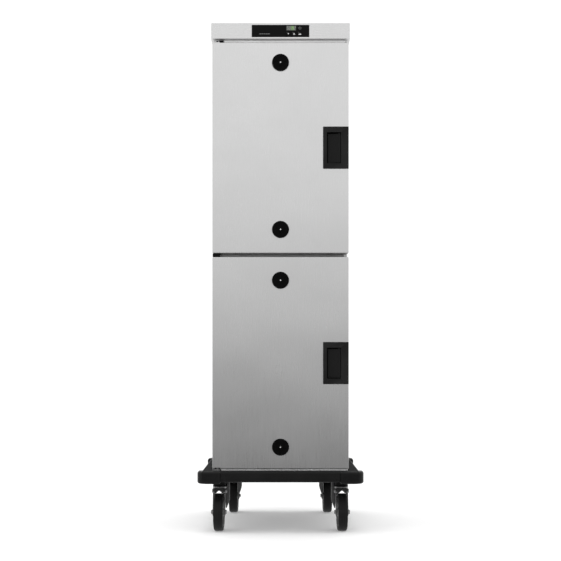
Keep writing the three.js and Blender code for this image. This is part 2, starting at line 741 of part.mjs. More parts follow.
// Rocking paddle in the bezel's pocket, on two stub pins.
function handlePaddle({ handle }) {
  const side = 0.5;
  const left = POCKET.left + side;
  const right = POCKET.right - side;
  const half = POCKET.height / 2 - side;
  const face = new THREE.Shape();
  face.moveTo(left, PADDLE.leftFace);
  face.lineTo(right, PADDLE.rightFace);
  face.lineTo(right, PADDLE.rightFace + PADDLE.thick);
  face.lineTo(left, PADDLE.leftFace + PADDLE.thick);
  face.closePath();
  const pivot = [PADDLE.pivotX, PADDLE.pivotY];
  const reach = half + side + PADDLE_PIVOT.reach;
  return join(
    prismZ(face, handle - half, handle + half),
    rod('z', pivot, PADDLE_PIVOT.boss, handle - half, handle + half, SIDES.hole),
    rod('z', pivot, PADDLE_PIVOT.pin, handle - reach, handle + reach, SIDES.hole),
  );
}

// Round shutter with four windows, on a post in the door.
function ventDial(z) {
  const { radius, face, seat } = VENT;
  const disc = toSolid(turned(
    [[0, 0], [radius, 0], [radius, seat - face - 2], [radius - 2, seat - face], [0, seat - face]],
    SIDES.disc,
  ).rotateX(Math.PI / 2).translate(0, seat, z));
  const post = rod('y', [0, z], VENT.post, seat - 1, VENT.postEnd, SIDES.hole);
  const windows = Array.from({ length: VENT_HOLES.count }, (_, i) => {
    const angle = i * 2 * Math.PI / VENT_HOLES.count;
    const place = [VENT_HOLES.ring * Math.cos(angle), z + VENT_HOLES.ring * Math.sin(angle)];
    return rod('y', place, VENT_HOLES.radius, face - OVERCUT, seat + OVERCUT, SIDES.hole);
  });
  return cut(join(disc, post), ...windows);
}

function addDoor(name, door) {
  addPiece(`${name}_door_shell`, doorShell(door), STEEL);
  addPiece(`${name}_door_liner`, doorLiner(door), INNER_STEEL);
  addPiece(`${name}_door_gasket`, doorGasket(DOORWAYS[name]), SEAL);
  addPiece(`${name}_handle_bezel`, handleBezel(door), BLACK_PLASTIC);
  addPiece(`${name}_handle_paddle`, handlePaddle(door), BLACK_PLASTIC);
  addPiece(`${name}_vent_dial_top`, ventDial(door.vents[0]), DIAL_PLASTIC);
  addPiece(`${name}_vent_dial_bottom`, ventDial(door.vents[1]), DIAL_PLASTIC);
}

// ---------------------------------------------------------------- assembly

addPiece('base_frame', baseFrame(), CHASSIS);
addPiece('base_bumper', baseBumper(), BLACK_PLASTIC);
addPiece('bumper_corner_front_left', bumperCorner(-1, -1, 2), BLACK_PLASTIC);
addPiece('bumper_corner_front_right', bumperCorner(1, -1, 3), BLACK_PLASTIC);
addPiece('bumper_corner_rear_left', bumperCorner(-1, 1, 1), BLACK_PLASTIC);
addPiece('bumper_corner_rear_right', bumperCorner(1, 1, 0), BLACK_PLASTIC);

addPiece('outer_casing', outerCasing(), STEEL);
addPiece('insulation', insulation(), FOAM);
addPiece('inner_liner', innerLiner(), INNER_STEEL);
addPiece('mid_rail', midRail(), INNER_STEEL);
addPiece('rack_left', rack(-1), INNER_STEEL);
addPiece('rack_right', rack(1), INNER_STEEL);
addPiece('heater_unit', heaterUnit(), INNER_STEEL);
addPiece('air_baffle', airBaffle(), INNER_STEEL);
addPiece('power_inlet', powerInlet(), BLACK_PLASTIC);

addPiece('top_cap', topCap(), STEEL);
addPiece('control_box', controlBox(), BLACK_PLASTIC);
addPiece('control_fascia', controlFascia(), BLACK_PANEL);
addPiece('display_window', displayWindow(), LCD);
for (const [name, place] of Object.entries(KEYS)) {
  addPiece(name, controlKey(place), KEY_PLASTIC);
}

addPiece('hinge_bracket_top', hingeTop(), ZINC);
addPiece('hinge_bracket_middle', hingeMiddle(), ZINC);
addPiece('hinge_bracket_bottom', hingeBottom(), ZINC);

for (const [name, door] of Object.entries(DOORS)) {
  addDoor(name, door);
}
for (const [place, position] of Object.entries(CASTERS)) {
  addCaster(place, position);
}

export default model;
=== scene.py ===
# Proofing cabinet: the visual model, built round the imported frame.
# +Z is up and the doors face -Y. The shape helpers take millimetres, and Blender's own units are metres.

import json
import math

import bmesh
import bpy
from mathutils import Matrix, Vector


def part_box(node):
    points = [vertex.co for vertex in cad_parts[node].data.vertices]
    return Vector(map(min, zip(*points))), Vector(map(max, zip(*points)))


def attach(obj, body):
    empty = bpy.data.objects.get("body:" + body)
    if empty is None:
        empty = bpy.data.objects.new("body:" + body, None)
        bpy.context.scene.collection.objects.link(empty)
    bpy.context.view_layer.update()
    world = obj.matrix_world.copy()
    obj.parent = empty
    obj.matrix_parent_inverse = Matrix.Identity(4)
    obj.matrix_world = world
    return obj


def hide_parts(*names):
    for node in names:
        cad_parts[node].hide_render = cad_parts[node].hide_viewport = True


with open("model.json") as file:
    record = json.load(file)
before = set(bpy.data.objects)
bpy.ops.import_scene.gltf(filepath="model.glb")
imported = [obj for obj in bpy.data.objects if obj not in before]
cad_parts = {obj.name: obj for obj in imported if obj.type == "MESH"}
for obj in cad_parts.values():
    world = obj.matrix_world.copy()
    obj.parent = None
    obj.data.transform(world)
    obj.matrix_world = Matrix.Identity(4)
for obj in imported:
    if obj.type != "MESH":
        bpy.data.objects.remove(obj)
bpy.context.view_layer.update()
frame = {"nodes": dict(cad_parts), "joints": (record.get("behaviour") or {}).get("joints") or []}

MM = 0.001
scene = bpy.context.scene
nodes = frame["nodes"]
CORNERS = ("front_left", "front_right", "rear_left", "rear_right")
SIDES = (-1, 1)
ORIGIN = (0, 0, 0)
UP, RIGHT, FRONT, BACK = (0, 0, 1), (1, 0, 0), (0, -1, 0), (0, 1, 0)


# ---------------------------------------------------------------- material helpers

def put(tree, kind, inputs=None, **properties):
    """Adds a node. An input is a value, or the output socket that feeds it."""
    node = tree.nodes.new(kind)
    for name, value in properties.items():
        setattr(node, name, value)
    for name, value in (inputs or {}).items():
        socket = node.inputs[name]
        if isinstance(value, bpy.types.NodeSocket):
            tree.links.new(value, socket)
        else:
            socket.default_value = value
    return node


def blank(name):
    """A material without nodes, its tree, and the point of its object that is shaded."""
    material = bpy.data.materials.new(name)
    material.use_nodes = True
    tree = material.node_tree
    tree.nodes.clear()
    return material, tree, put(tree, "ShaderNodeTexCoord").outputs["Object"]


def grey(value, tint=(1, 1, 1)):
    return (value * tint[0], value * tint[1], value * tint[2], 1)


def stretched(tree, point, scale):
    return put(tree, "ShaderNodeMapping", {"Vector": point, "Scale": scale}).outputs["Vector"]


def noise(tree, point, scale, detail=3, roughness=0.55):
    settings = {"Vector": point, "Scale": scale, "Detail": detail, "Roughness": roughness}
    return put(tree, "ShaderNodeTexNoise", settings).outputs["Fac"]


def ranged(tree, value, low, high, start=0.3, end=0.7):
    settings = {"Value": value, "From Min": start, "From Max": end, "To Min": low, "To Max": high}
    return put(tree, "ShaderNodeMapRange", settings).outputs["Result"]


def blended(tree, factor, first, second):
    mix = put(tree, "ShaderNodeMix", {0: factor, 6: first, 7: second}, data_type="RGBA")
    return mix.outputs[2]


def calc(tree, operation, first, second):
    return put(tree, "ShaderNodeMath", {0: first, 1: second}, operation=operation).outputs[0]


def bumped(tree, height, distance, strength=1.0, normal=None):
    """Bump from a height between 0 and 1, with the depth in millimetres."""
    settings = {"Height": height, "Distance": distance * MM, "Strength": strength}
    if normal is not None:
        settings["Normal"] = normal
    return put(tree, "ShaderNodeBump", settings).outputs["Normal"]


def finished(material, tree, inputs):
    """Gives a material one principled shader with these inputs."""
    shader = put(tree, "ShaderNodeBsdfPrincipled", inputs)
    put(tree, "ShaderNodeOutputMaterial", {"Surface": shader.outputs[0]})
    return material


# ---------------------------------------------------------------- materials

def brushed_steel(name, base, rough, grain, warp=1.0, anisotropy=0.7):
    """Sheet steel brushed along one axis, with cloudy wear and a sheet's slight waviness."""
    material, tree, point = blank(name)
    along, across = 14, 1500
    scale = {"Z": (across, across, along), "X": (along, across, across), "Y": (across, along, across)}[grain]
    lines = noise(tree, stretched(tree, point, scale), 1, 4, 0.65)
    streaks = noise(tree, stretched(tree, point, tuple(s * 0.16 for s in scale)), 1, 3)
    clouds = noise(tree, point, 5, 5, 0.6)
    smears = noise(tree, point, 23, 6, 0.7)
    colour = blended(tree, ranged(tree, lines, 0, 1), grey(base * 0.95), grey(base * 1.04))
    smeared = ranged(tree, smears, 0, 0.07, 0.5, 0.8)
    colour = blended(tree, smeared, colour, grey(base * 0.8, (1, 0.99, 0.97)))
    roughness = ranged(tree, lines, rough - 0.05, rough + 0.05)
    roughness = calc(tree, "ADD", roughness, ranged(tree, clouds, -0.015, 0.02))
    roughness = calc(tree, "ADD", roughness, ranged(tree, smears, 0, 0.015, 0.5, 0.75))
    wave = noise(tree, point, 3.2, 1, 0.4)
    normal = bumped(tree, wave, 1.6 * warp, 1.0)
    normal = bumped(tree, streaks, 0.0022, 0.5, normal)
    normal = bumped(tree, lines, 0.005, 0.5, normal)
    axis = {"Z": (0, 0, 1), "X": (1, 0, 0), "Y": (0, 1, 0)}[grain]
    true_normal = put(tree, "ShaderNodeNewGeometry").outputs["Normal"]
    tangent = put(tree, "ShaderNodeVectorMath", {0: true_normal, 1: axis}, operation="CROSS_PRODUCT")
    return finished(material, tree, {
        "Base Color": colour,
        "Metallic": 1.0,
        "Roughness": roughness,
        "Anisotropic": anisotropy,
        "Tangent": tangent.outputs[0],
        "Normal": normal,
    })


def moulded(name, base, rough, specular=0.3, grain=900, depth=0.03, wear=1.0):
    """Moulded plastic or rubber: a fine texture, cloudy gloss, dust and paler worn edges."""
    material, tree, point = blank(name)
    pores = noise(tree, point, grain, 3, 0.6)
    clouds = noise(tree, point, 14, 5, 0.6)
    edge = put(tree, "ShaderNodeNewGeometry").outputs["Pointiness"]
    worn = ranged(tree, edge, 0, 0.55 * wear, 0.51, 0.60)
    worn = calc(tree, "MULTIPLY", worn, ranged(tree, clouds, 0.4, 1.0))
    colour = blended(tree, ranged(tree, clouds, 0, 1), grey(base * 0.85), grey(base * 1.15))
    colour = blended(tree, worn, colour, grey(base * 2.2 + 0.01))
    roughness = ranged(tree, clouds, rough - 0.06, rough + 0.06)
    roughness = calc(tree, "ADD", roughness, ranged(tree, pores, -0.04, 0.04))
    return finished(material, tree, {
        "Base Color": colour,
        "Roughness": roughness,
        "Specular IOR Level": specular,
        "Normal": bumped(tree, pores, depth, 0.6),
    })


def plated(name, base, rough, tint=(1, 1, 1)):
    """Zinc-plated or cast metal: mottled colour, small dents and duller patches."""
    material, tree, point = blank(name)
    spangle = noise(tree, point, 160, 4, 0.6)
    clouds = noise(tree, point, 40, 4, 0.6)
    colour = blended(tree, ranged(tree, spangle, 0, 1), grey(base * 0.82, tint), grey(base * 1.1, tint))
    roughness = ranged(tree, clouds, rough - 0.07, rough + 0.09)
    roughness = calc(tree, "ADD", roughness, ranged(tree, spangle, -0.04, 0.04))
    return finished(material, tree, {
        "Base Color": colour,
        "Metallic": 1.0,
        "Roughness": roughness,
        "Normal": bumped(tree, spangle, 0.05, 0.5),
    })


def gloss_panel(name, base):
    """Glossy printed film over the controls, with faint dust."""
    material, tree, point = blank(name)
    dust = noise(tree, point, 420, 6, 0.75)
    haze = noise(tree, point, 30, 4)
    colour = blended(tree, ranged(tree, dust, 0, 0.5, 0.62, 0.8), grey(base), grey(base * 5 + 0.01))
    return finished(material, tree, {
        "Base Color": colour,
        "Roughness": ranged(tree, haze, 0.16, 0.28),
        "Specular IOR Level": 0.08,
        "Normal": bumped(tree, haze, 0.05, 0.3),
    })


def display_glass(name, base, tint):
    """Grey-green liquid crystal behind its window, with cloudy tone and fine darker cells."""
    material, tree, point = blank(name)
    cells = noise(tree, stretched(tree, point, (900, 900, 900)), 1, 1)
    cloud = noise(tree, point, 60, 3)
    colour = blended(tree, ranged(tree, cloud, 0, 1), grey(base * 0.85, tint), grey(base * 1.15, tint))
    colour = blended(tree, ranged(tree, cells, 0, 0.15), colour, grey(base * 0.6, tint))
    return finished(material, tree, {
        "Base Color": colour,
        "Roughness": 0.2,
        "Specular IOR Level": 0.3,
    })


def ink(name, colour, glow=0.0):
    """Printed marks on the panel: matt, slightly uneven ink, or a lit segment."""
    material, tree, point = blank(name)
    patch = noise(tree, point, 700, 4, 0.7)
    darker = tuple(c * 0.85 for c in colour[:3]) + (1,)
    mixed = blended(tree, ranged(tree, patch, 0, 1), darker, colour)
    return finished(material, tree, {
        "Base Color": mixed,
        "Roughness": 0.55,
        "Emission Color": colour,
        "Emission Strength": glow,
    })


def foam_material(name):
    material, tree, point = blank(name)
    cells = noise(tree, point, 700, 4, 0.7)
    colour = blended(tree, ranged(tree, cells, 0, 1), (0.62, 0.56, 0.36, 1), (0.78, 0.73, 0.52, 1))
    return finished(material, tree, {
        "Base Color": colour,
        "Roughness": 0.95,
        "Normal": bumped(tree, cells, 0.4, 0.8),
    })


STEEL = brushed_steel("door_steel", 0.67, 0.30, "Z")
CAP_STEEL = brushed_steel("cap_steel", 0.73, 0.26, "X", warp=0.5)
# Near-white copy of the brushed steel for the neck under the cap: painted light in the shaded gap there.
NECK_STEEL = brushed_steel("neck_steel_painted_light", 0.92, 0.3, "X", warp=0.2)
TOP_STEEL = brushed_steel("top_steel", 0.67, 0.34, "Y", warp=0.5)
LINER_STEEL = brushed_steel("liner_steel", 0.62, 0.36, "Z")
# Darker copy of the brushed steel for the strip between the doors: painted shade of that narrow gap.
MULLION_STEEL = brushed_steel("mullion_steel_painted_shade", 0.5, 0.45, "X")
RACK_STEEL = brushed_steel("rack_steel", 0.60, 0.33, "Y", warp=0)
ZINC = plated("zinc_plate", 0.30, 0.36)
CROWN = plated("race_steel", 0.48, 0.36)
# Dark zinc for the forks, lock arms and race cups: painted shade under the base.
FORK = plated("fork_steel_painted_shade", 0.14, 0.45)
BRIGHT = plated("bright_bracket", 0.85, 0.25)
# Near-white metal for the door sill: a painted highlight of the lower door's bottom edge.
SILL = plated("sill_painted_highlight", 0.95, 0.4)
BLACKED = plated("black_bracket", 0.012, 0.45)
SCREW_STEEL = plated("screw_steel", 0.75, 0.22)
# Near-white, rough metal for the dial's screw: a real screw with a painted highlight.
DIAL_SCREW = plated("dial_screw_painted_highlight", 0.98, 0.55)
CHASSIS = plated("chassis_paint", 0.16, 0.5)
BUMPER = moulded("bumper_plastic", 0.003, 0.45, 0.16, 700, 0.05)
# Matt, paler copy of the bumper plastic for the ring's upward faces: painted light on the top.
BUMPER_TOP = moulded("bumper_top_painted_light", 0.02, 0.8, 0.03, 500, 0.2, wear=0)
HANDLE = moulded("handle_plastic", 0.004, 0.45, 0.19, 1100, 0.03)
PADDLE = moulded("paddle_plastic", 0.004, 0.48, 0.18, 1100, 0.03)
VENT = moulded("vent_plastic", 0.0014, 0.42, 0.05, 420, 0.16)
# Matt black painted shade for the louvre openings, vent holes, handle pocket and fan opening; also the cap's
# seam lines.
SHADE = moulded("painted_shade_and_seam_black", 0.004, 0.8, 0.1, 900, 0.02, wear=0)
HUB = moulded("hub_plastic", 0.17, 0.5, 0.3, 800, 0.04, wear=0.3)
TYRE = moulded("tyre_rubber", 0.006, 0.6, 0.18, 1300, 0.06)
SEAL = moulded("seal_rubber", 0.02, 0.7, 0.2, 1500, 0.03, wear=0.2)
PANEL = gloss_panel("panel_film", 0.0025)
LCD = display_glass("lcd", 0.085, (0.95, 1.0, 0.92))
WHITE_INK = ink("white_ink", (0.85, 0.85, 0.85, 1))
GREY_INK = ink("grey_ink", (0.2, 0.205, 0.205, 1))
PALE_SEGMENT = ink("pale_segment", (0.40, 0.42, 0.38, 1))
GREEN_LIT = ink("lit_segment", (0.30, 0.52, 0.20, 1), 0.15)
GREEN_GLOW = ink("lit_patch", (0.14, 0.24, 0.10, 1), 0.05)
FOAM = foam_material("foam")


# ---------------------------------------------------------------- shape helpers

SHARP_ANGLE = 38


def span(node):
    """Lowest and highest corners of a CAD node at rest, in millimetres."""
    return tuple(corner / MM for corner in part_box(node))


def middle_of(node):
    low, high = span(node)
    return (low + high) / 2


def shade(mesh, angle):
    """Smooth shading, with sharp edges where two faces meet at more than an angle in degrees."""
    mesh.shade_smooth()
    mesh.set_sharp_from_angle(angle=math.radians(angle))


def link(name, bm, material, smooth=SHARP_ANGLE):
    bmesh.ops.recalc_face_normals(bm, faces=bm.faces)
    mesh = bpy.data.meshes.new(name)
    bm.to_mesh(mesh)
    bm.free()
    mesh.materials.append(material)
    shade(mesh, smooth)
    made = bpy.data.objects.new(name, mesh)
    scene.collection.objects.link(made)
    return made


def box(name, low, high, material, radius=0.0, segments=3):
    """A box between two corners, with all its edges rounded."""
    bm = bmesh.new()
    bmesh.ops.create_cube(bm, size=1)
    low, high = Vector(low) * MM, Vector(high) * MM
    bmesh.ops.scale(bm, vec=high - low, verts=bm.verts)
    bmesh.ops.translate(bm, vec=(high + low) / 2, verts=bm.verts)
    if radius:
        bmesh.ops.bevel(
            bm, geom=bm.edges[:], offset=radius * MM, segments=segments, affect="EDGES", profile=0.5,
        )
    return link(name, bm, material)


def arc(u, v, radius, start, end, steps):
    """Points of an arc about (u, v) between two angles in degrees."""
    turns = [math.radians(start + (end - start) * i / steps) for i in range(steps + 1)]
    return [(u + radius * math.cos(t), v + radius * math.sin(t)) for t in turns]


def circle(u, v, radius, steps=32):
    return arc(u, v, radius, 0, 360, steps)[:-1]


def round_rect(u0, v0, u1, v1, radius, steps=5):
    """Outline of a rectangle with round corners, anticlockwise from the lower right. One radius, or four."""
    radii = radius if isinstance(radius, tuple) else (radius,) * 4
    corners = ((u1, v0, -1, 1), (u1, v1, -1, -1), (u0, v1, 1, -1), (u0, v0, 1, 1))
    points = []
    for quarter, ((u, v, du, dv), r) in enumerate(zip(corners, radii)):
        points += arc(u + du * r, v + dv * r, r, 90 * quarter - 90, 90 * quarter, steps)
    return points


def prism(name, outline, start, end, material, axis="Y"):
    """An outline in the plane of the two other axes, swept along one axis."""
    order = {"X": (2, 0, 1), "Y": (0, 2, 1), "Z": (0, 1, 2)}[axis]
    bm = bmesh.new()
    near, far = (
        [bm.verts.new([(u, v, w)[i] * MM for i in order]) for u, v in outline] for w in (start, end)
    )
    bm.faces.new(near)
    bm.faces.new(far)
    for i in range(len(outline)):
        bm.faces.new((near[i - 1], near[i], far[i], far[i - 1]))
    return link(name, bm, material)


def lathe(name, profile, centre, direction, material, steps=64, closed=False, smooth=SHARP_ANGLE):
    """Points of (radius, height) turned about a line through centre, with the height along direction."""
    bm = bmesh.new()
    rings = []
    for radius, height in profile:
        points = circle(0, 0, radius, steps) if radius else [(0, 0)]
        rings.append([bm.verts.new((u * MM, v * MM, height * MM)) for u, v in points])
    pairs = list(zip(rings, rings[1:])) + ([(rings[-1], rings[0])] if closed else [])
    for first, second in pairs:
        for i in range(steps):
            j = (i + 1) % steps
            corners = [first[i % len(first)], first[j % len(first)]]
            corners += [second[j % len(second)], second[i % len(second)]]
            corners = list(dict.fromkeys(corners))
            if len(corners) > 2:
                bm.faces.new(corners)
    aim = Vector(direction).to_track_quat("Z", "Y").to_matrix().to_4x4()
    bm.transform(Matrix.Translation(Vector(centre) * MM) @ aim)
    return link(name, bm, material, smooth)


def both_sides(half):
    """A whole profile, from the half that runs from its middle plane outwards."""
    return [(radius, -height) for radius, height in reversed(half)] + half


def bake(obj):
    """Applies a piece's modifiers to its mesh."""
    graph = bpy.context.evaluated_depsgraph_get()
    mesh = bpy.data.meshes.new_from_object(obj.evaluated_get(graph))
    obj.modifiers.clear()
    obj.data = mesh
    shade(mesh, SHARP_ANGLE)


def combine(base, operation, tools):
    for tool in tools:
        modifier = base.modifiers.new("combine", "BOOLEAN")
        modifier.object = tool
        modifier.operation = operation
        modifier.solver = "EXACT"
        bpy.context.view_layer.update()
        bake(base)
        bpy.data.objects.remove(tool)
    return base


def carve(base, *tools):
    return combine(base, "DIFFERENCE", tools)


def soften(obj, width, segments=2, angle=35):
    """Rounds the edges of a piece, or of a CAD node, whose own vertices stay as they are."""
    weld = obj.modifiers.new("weld", "WELD")
    weld.merge_threshold = 0.01 * MM
    bevel = obj.modifiers.new("bevel", "BEVEL")
    bevel.width = width * MM
    bevel.segments = segments
    bevel.limit_method = "ANGLE"
    bevel.angle_limit = math.radians(angle)
    shade(obj.data, angle)
    return obj


def merged(name, parts):
    """Several pieces of one material as one piece."""
    bm = bmesh.new()
    material = parts[0].data.materials[0]
    for part in parts:
        bm.from_mesh(part.data)
        bpy.data.objects.remove(part)
    return link(name, bm, material)


def moved(obj, matrix):
    """Moves a piece's mesh. The matrix has its translation in millimetres."""
    metric = matrix.copy()
    metric.translation *= MM
    obj.data.transform(metric)
    return obj


def flat_faces(obj):
    """Keeps large faces flat where they meet round edges."""
    modifier = obj.modifiers.new("normals", "WEIGHTED_NORMAL")
    modifier.keep_sharp = True
    modifier.weight = 100


def place(obj, body, stands_for=()):
    flat_faces(obj)
    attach(obj, body)
    if stands_for:
        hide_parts(*stands_for)


def cad(node, material, width=0.0, segments=2):
    """Gives a CAD node its finished material and round edges."""
    obj = nodes[node]
    obj.data.materials.clear()
    obj.data.materials.append(material)
    if width:
        soften(obj, width, segments)
    flat_faces(obj)


def screws(name, points, direction, radius, body):
    """Pan-head screws with a round driver recess, on one face."""
    head = [
        (0, 0.05), (0.30, 0.05), (0.36, 0.52), (0.46, 0.56), (0.74, 0.48), (0.93, 0.28), (1, 0.05), (1, -0.2),
    ]
    profile = [(u * radius, v * radius) for u, v in head]
    parts = [lathe(name, profile, point, direction, SCREW_STEEL, 20) for point in points]
    place(merged(name, parts), body)


# ---------------------------------------------------------------- base

def base_ring():
    low, high = span("base_bumper")
    frame_low, frame_high = span("base_frame")
    ring = box("base_ring", low, high, BUMPER, 7, 5)
    past = Vector((0, 0, 2))
    carve(ring, box("hole", frame_low - past, frame_high + past, BUMPER))
    # Parting line along the ring's four faces.
    z = (low.z + high.z) / 2 + 3
    groove = box("groove", (low.x - 0.1, low.y - 0.1, z), (high.x + 0.1, high.y + 0.1, z + 0.7), BUMPER)
    depth = Vector((0.6, 0.6, 0))
    carve(ring, carve(groove, box("inner", low + depth, high - depth, BUMPER)))
    # Upward faces take the paler top plastic, painted light on the ring's top.
    ring.data.materials.append(BUMPER_TOP)
    for face in ring.data.polygons:
        if face.normal.z > 0.9:
            face.material_index = 1
    place(ring, "cabinet", ["base_bumper"])
    cad("base_frame", CHASSIS, 1.2)


def corner_guard(corner, side_x, side_y):
    """L-shaped guard over the ring's corner, thick and round."""
    node = f"bumper_corner_{corner}"
    low, high = span(node)
    reach, arm, inner_radius, radius = 78, 26, 8, 40
    inner = -arm - inner_radius
    outline = [(-reach, 0), (-reach, -arm)] + arc(inner, inner, inner_radius, 90, 0, 4)
    outline += [(-arm, -reach), (0, -reach)] + arc(-radius, -radius, radius, 0, 90, 12)
    x = high.x if side_x > 0 else low.x
    y = high.y if side_y > 0 else low.y
    points = [(x + side_x * u, y + side_y * v) for u, v in outline]
    guard = prism(f"corner_guard_{corner}", points, low.z, high.z, BUMPER, "Z")
    place(soften(guard, 7, 4, 50), "cabinet", [node])


base_ring()
for corner, (side_x, side_y) in zip(CORNERS, ((-1, -1), (1, -1), (-1, 1), (1, 1))):
    corner_guard(corner, side_x, side_y)


# ---------------------------------------------------------------- casters
# A caster is drawn about its swivel axis with the wheel towards the front, then moved to its corner.

TRAIL = 38
WHEEL_RADIUS = 62.5
AXLE = (0, -TRAIL, WHEEL_RADIUS)
FORK_HALF = 20.5
RACE_BORE = 9


def caster_place(corner):
    boss = middle_of(f"caster_boss_{corner}")
    axis = next(joint["axis"] for joint in frame["joints"] if joint["name"] == f"caster_{corner}_roll")
    yaw = math.atan2(axis[1], axis[0])
    if corner.startswith("rear") and abs(yaw) < math.pi / 2:
        yaw += math.pi
    return Matrix.Translation((boss.x, boss.y, 0)) @ Matrix.Rotation(yaw, 4, "Z")


def caster_neck(corner, at):
    profile = [
        (0, 150.3), (21.8, 150.3), (22.6, 151.1), (23.5, 162), (23.7, 165.2), (24, 166.2), (24, 166.7),
        (0, 166.7),
    ]
    neck = lathe(f"caster_neck_{corner}", profile, ORIGIN, UP, BUMPER)
    place(moved(neck, at), "cabinet", [f"caster_boss_{corner}"])


def caster_fork(corner, at):
    """Pressed fork, with an arch over the wheel and legs down to the axle."""
    top, bottom, shoulder, leg_radius = 141.3, 47, 6, 14
    inside = [
        (18, bottom), (18, 112), (17.2, 119.5), (15.6, 121.5), (14, 123.3), (11.8, 124.6), (8.6, 125.9),
        (6.4, 128.9), (0, 133.5),
    ]
    outside = arc(FORK_HALF - shoulder, top - shoulder, shoulder, 90, 0, 12) + [(FORK_HALF, bottom)]
    arch = [(-u, v) for u, v in inside] + inside[-2::-1] + outside[::-1] + [(-u, v) for u, v in outside]
    side = [(25, top), (-30, top), (-39, 119)]
    side += arc(-TRAIL, WHEEL_RADIUS, leg_radius, 180, 360, 18) + [(22, 123)]
    fork = prism(f"caster_yoke_{corner}", arch, -62, 25, FORK)
    combine(fork, "INTERSECT", [prism("side", side, -24, 24, FORK, "X")])
    place(soften(moved(fork, at), 0.9), f"swivel_{corner}", [f"caster_fork_{corner}"])


def caster_lock(corner, at):
    """Arm of the swivel lock beside the fork, with its bent lip."""
    inward = 1 if corner in ("front_left", "rear_right") else -1
    arm = [
        (20, 72), (23, 72), (27, 82), (30.5, 92), (33, 103), (33, 161), (31, 163), (24.3, 163), (24.3, 150),
        (20, 141),
    ]
    lip = [(20.8, 140), (32.4, 140), (32.4, 161.4), (20.8, 161.4)]
    for kind, outline, front, back, width in (("arm", arm, 2, 14, 1.2), ("lip", lip, 12.2, 13.9, 0.5)):
        outline = [(inward * u, v) for u, v in outline]
        piece = prism(f"caster_lock_{kind}_{corner}", outline, front, back, FORK)
        place(soften(moved(piece, at), width), f"swivel_{corner}")


def caster_crown(corner, at):
    """Rings and king nut about the swivel axis, and the fork's rivets and pin heads."""
    cup = [(RACE_BORE, 134.5), (22, 134.5), (23, 135.4), (23, 139.2), (RACE_BORE, 139.2)]
    race = [
        (RACE_BORE, 139), (21.6, 139), (23, 139.8), (23.4, 141.5), (23.4, 144.2), (22.6, 145.2),
        (RACE_BORE, 145.3),
    ]
    race_seal = [
        (RACE_BORE, 145), (21.6, 145), (22.9, 145.8), (23.1, 147), (22.9, 148.6), (22, 149.8),
        (RACE_BORE, 149.9),
    ]
    nut = [(0, 130.6), (7, 130.6), (8.2, 131.8), (8.2, 139.4), (0, 139.4)]
    rivet = [(0, 1.6), (1.8, 1.4), (3.1, 0.5), (3.3, -1.5), (0, -1.5)]
    rivets = [lathe("rivet", rivet, (side * 17.3, -35, 128.6), (0, -1, 0.3), ZINC, 20) for side in SIDES]
    head = [(0, 4.8), (4.6, 4.6), (6.6, 3.6), (7.5, 1.8), (7.5, -1), (0, -1)]
    heads = [lathe("head", head, (side * FORK_HALF, -12, 131), (side, 0, 0), ZINC, 28) for side in SIDES]
    for kind, piece, slot in (
        ("race_cup", lathe("ring", cup, ORIGIN, UP, FORK, closed=True), "zinc"),
        ("arch_rivets", merged("rivets", rivets), "zinc"),
        ("race", lathe("ring", race, ORIGIN, UP, CROWN, closed=True), "zinc"),
        ("race_seal", lathe("ring", race_seal, ORIGIN, UP, BUMPER, closed=True), "black_plastic"),
        ("fork_pin", merged("heads", heads), "zinc"),
        ("king_nut", lathe("nut", nut, ORIGIN, UP, ZINC, 6), "zinc"),
    ):
        piece.name = f"caster_{kind}_{corner}"
        place(moved(piece, at), f"swivel_{corner}")


def caster_axle(corner, at):
    """Axle bolt with its washers, hexagonal head and nut, and the thread's end past the nut."""
    shank = [(0, -21.5), (5, -21.5), (5, 21.5), (0, 21.5)]
    washer = [(0, 20.6), (9.6, 20.6), (9.6, 21.7), (0, 21.7)]
    head = [(0, 21.7), (7.6, 21.7), (7.8, 22.2), (7.8, 24.8), (6.8, 25.8), (0, 25.9)]
    far_washer = [(radius, -height) for radius, height in washer]
    nut = [(0, -25.4), (6.8, -25.4), (7.8, -24.6), (7.8, -21.7), (0, -21.7)]
    tail = [(0, -26.6), (3.4, -26.6), (4, -26), (4, -23), (0, -23)]
    turned = ((shank, 24), (washer, 32), (head, 6), (far_washer, 32), (nut, 6), (tail, 20))
    parts = [lathe("bolt", profile, AXLE, RIGHT, ZINC, steps) for profile, steps in turned]
    bolt = merged(f"caster_axle_bolt_{corner}", parts)
    place(moved(bolt, at), f"swivel_{corner}", [f"caster_axle_{corner}"])


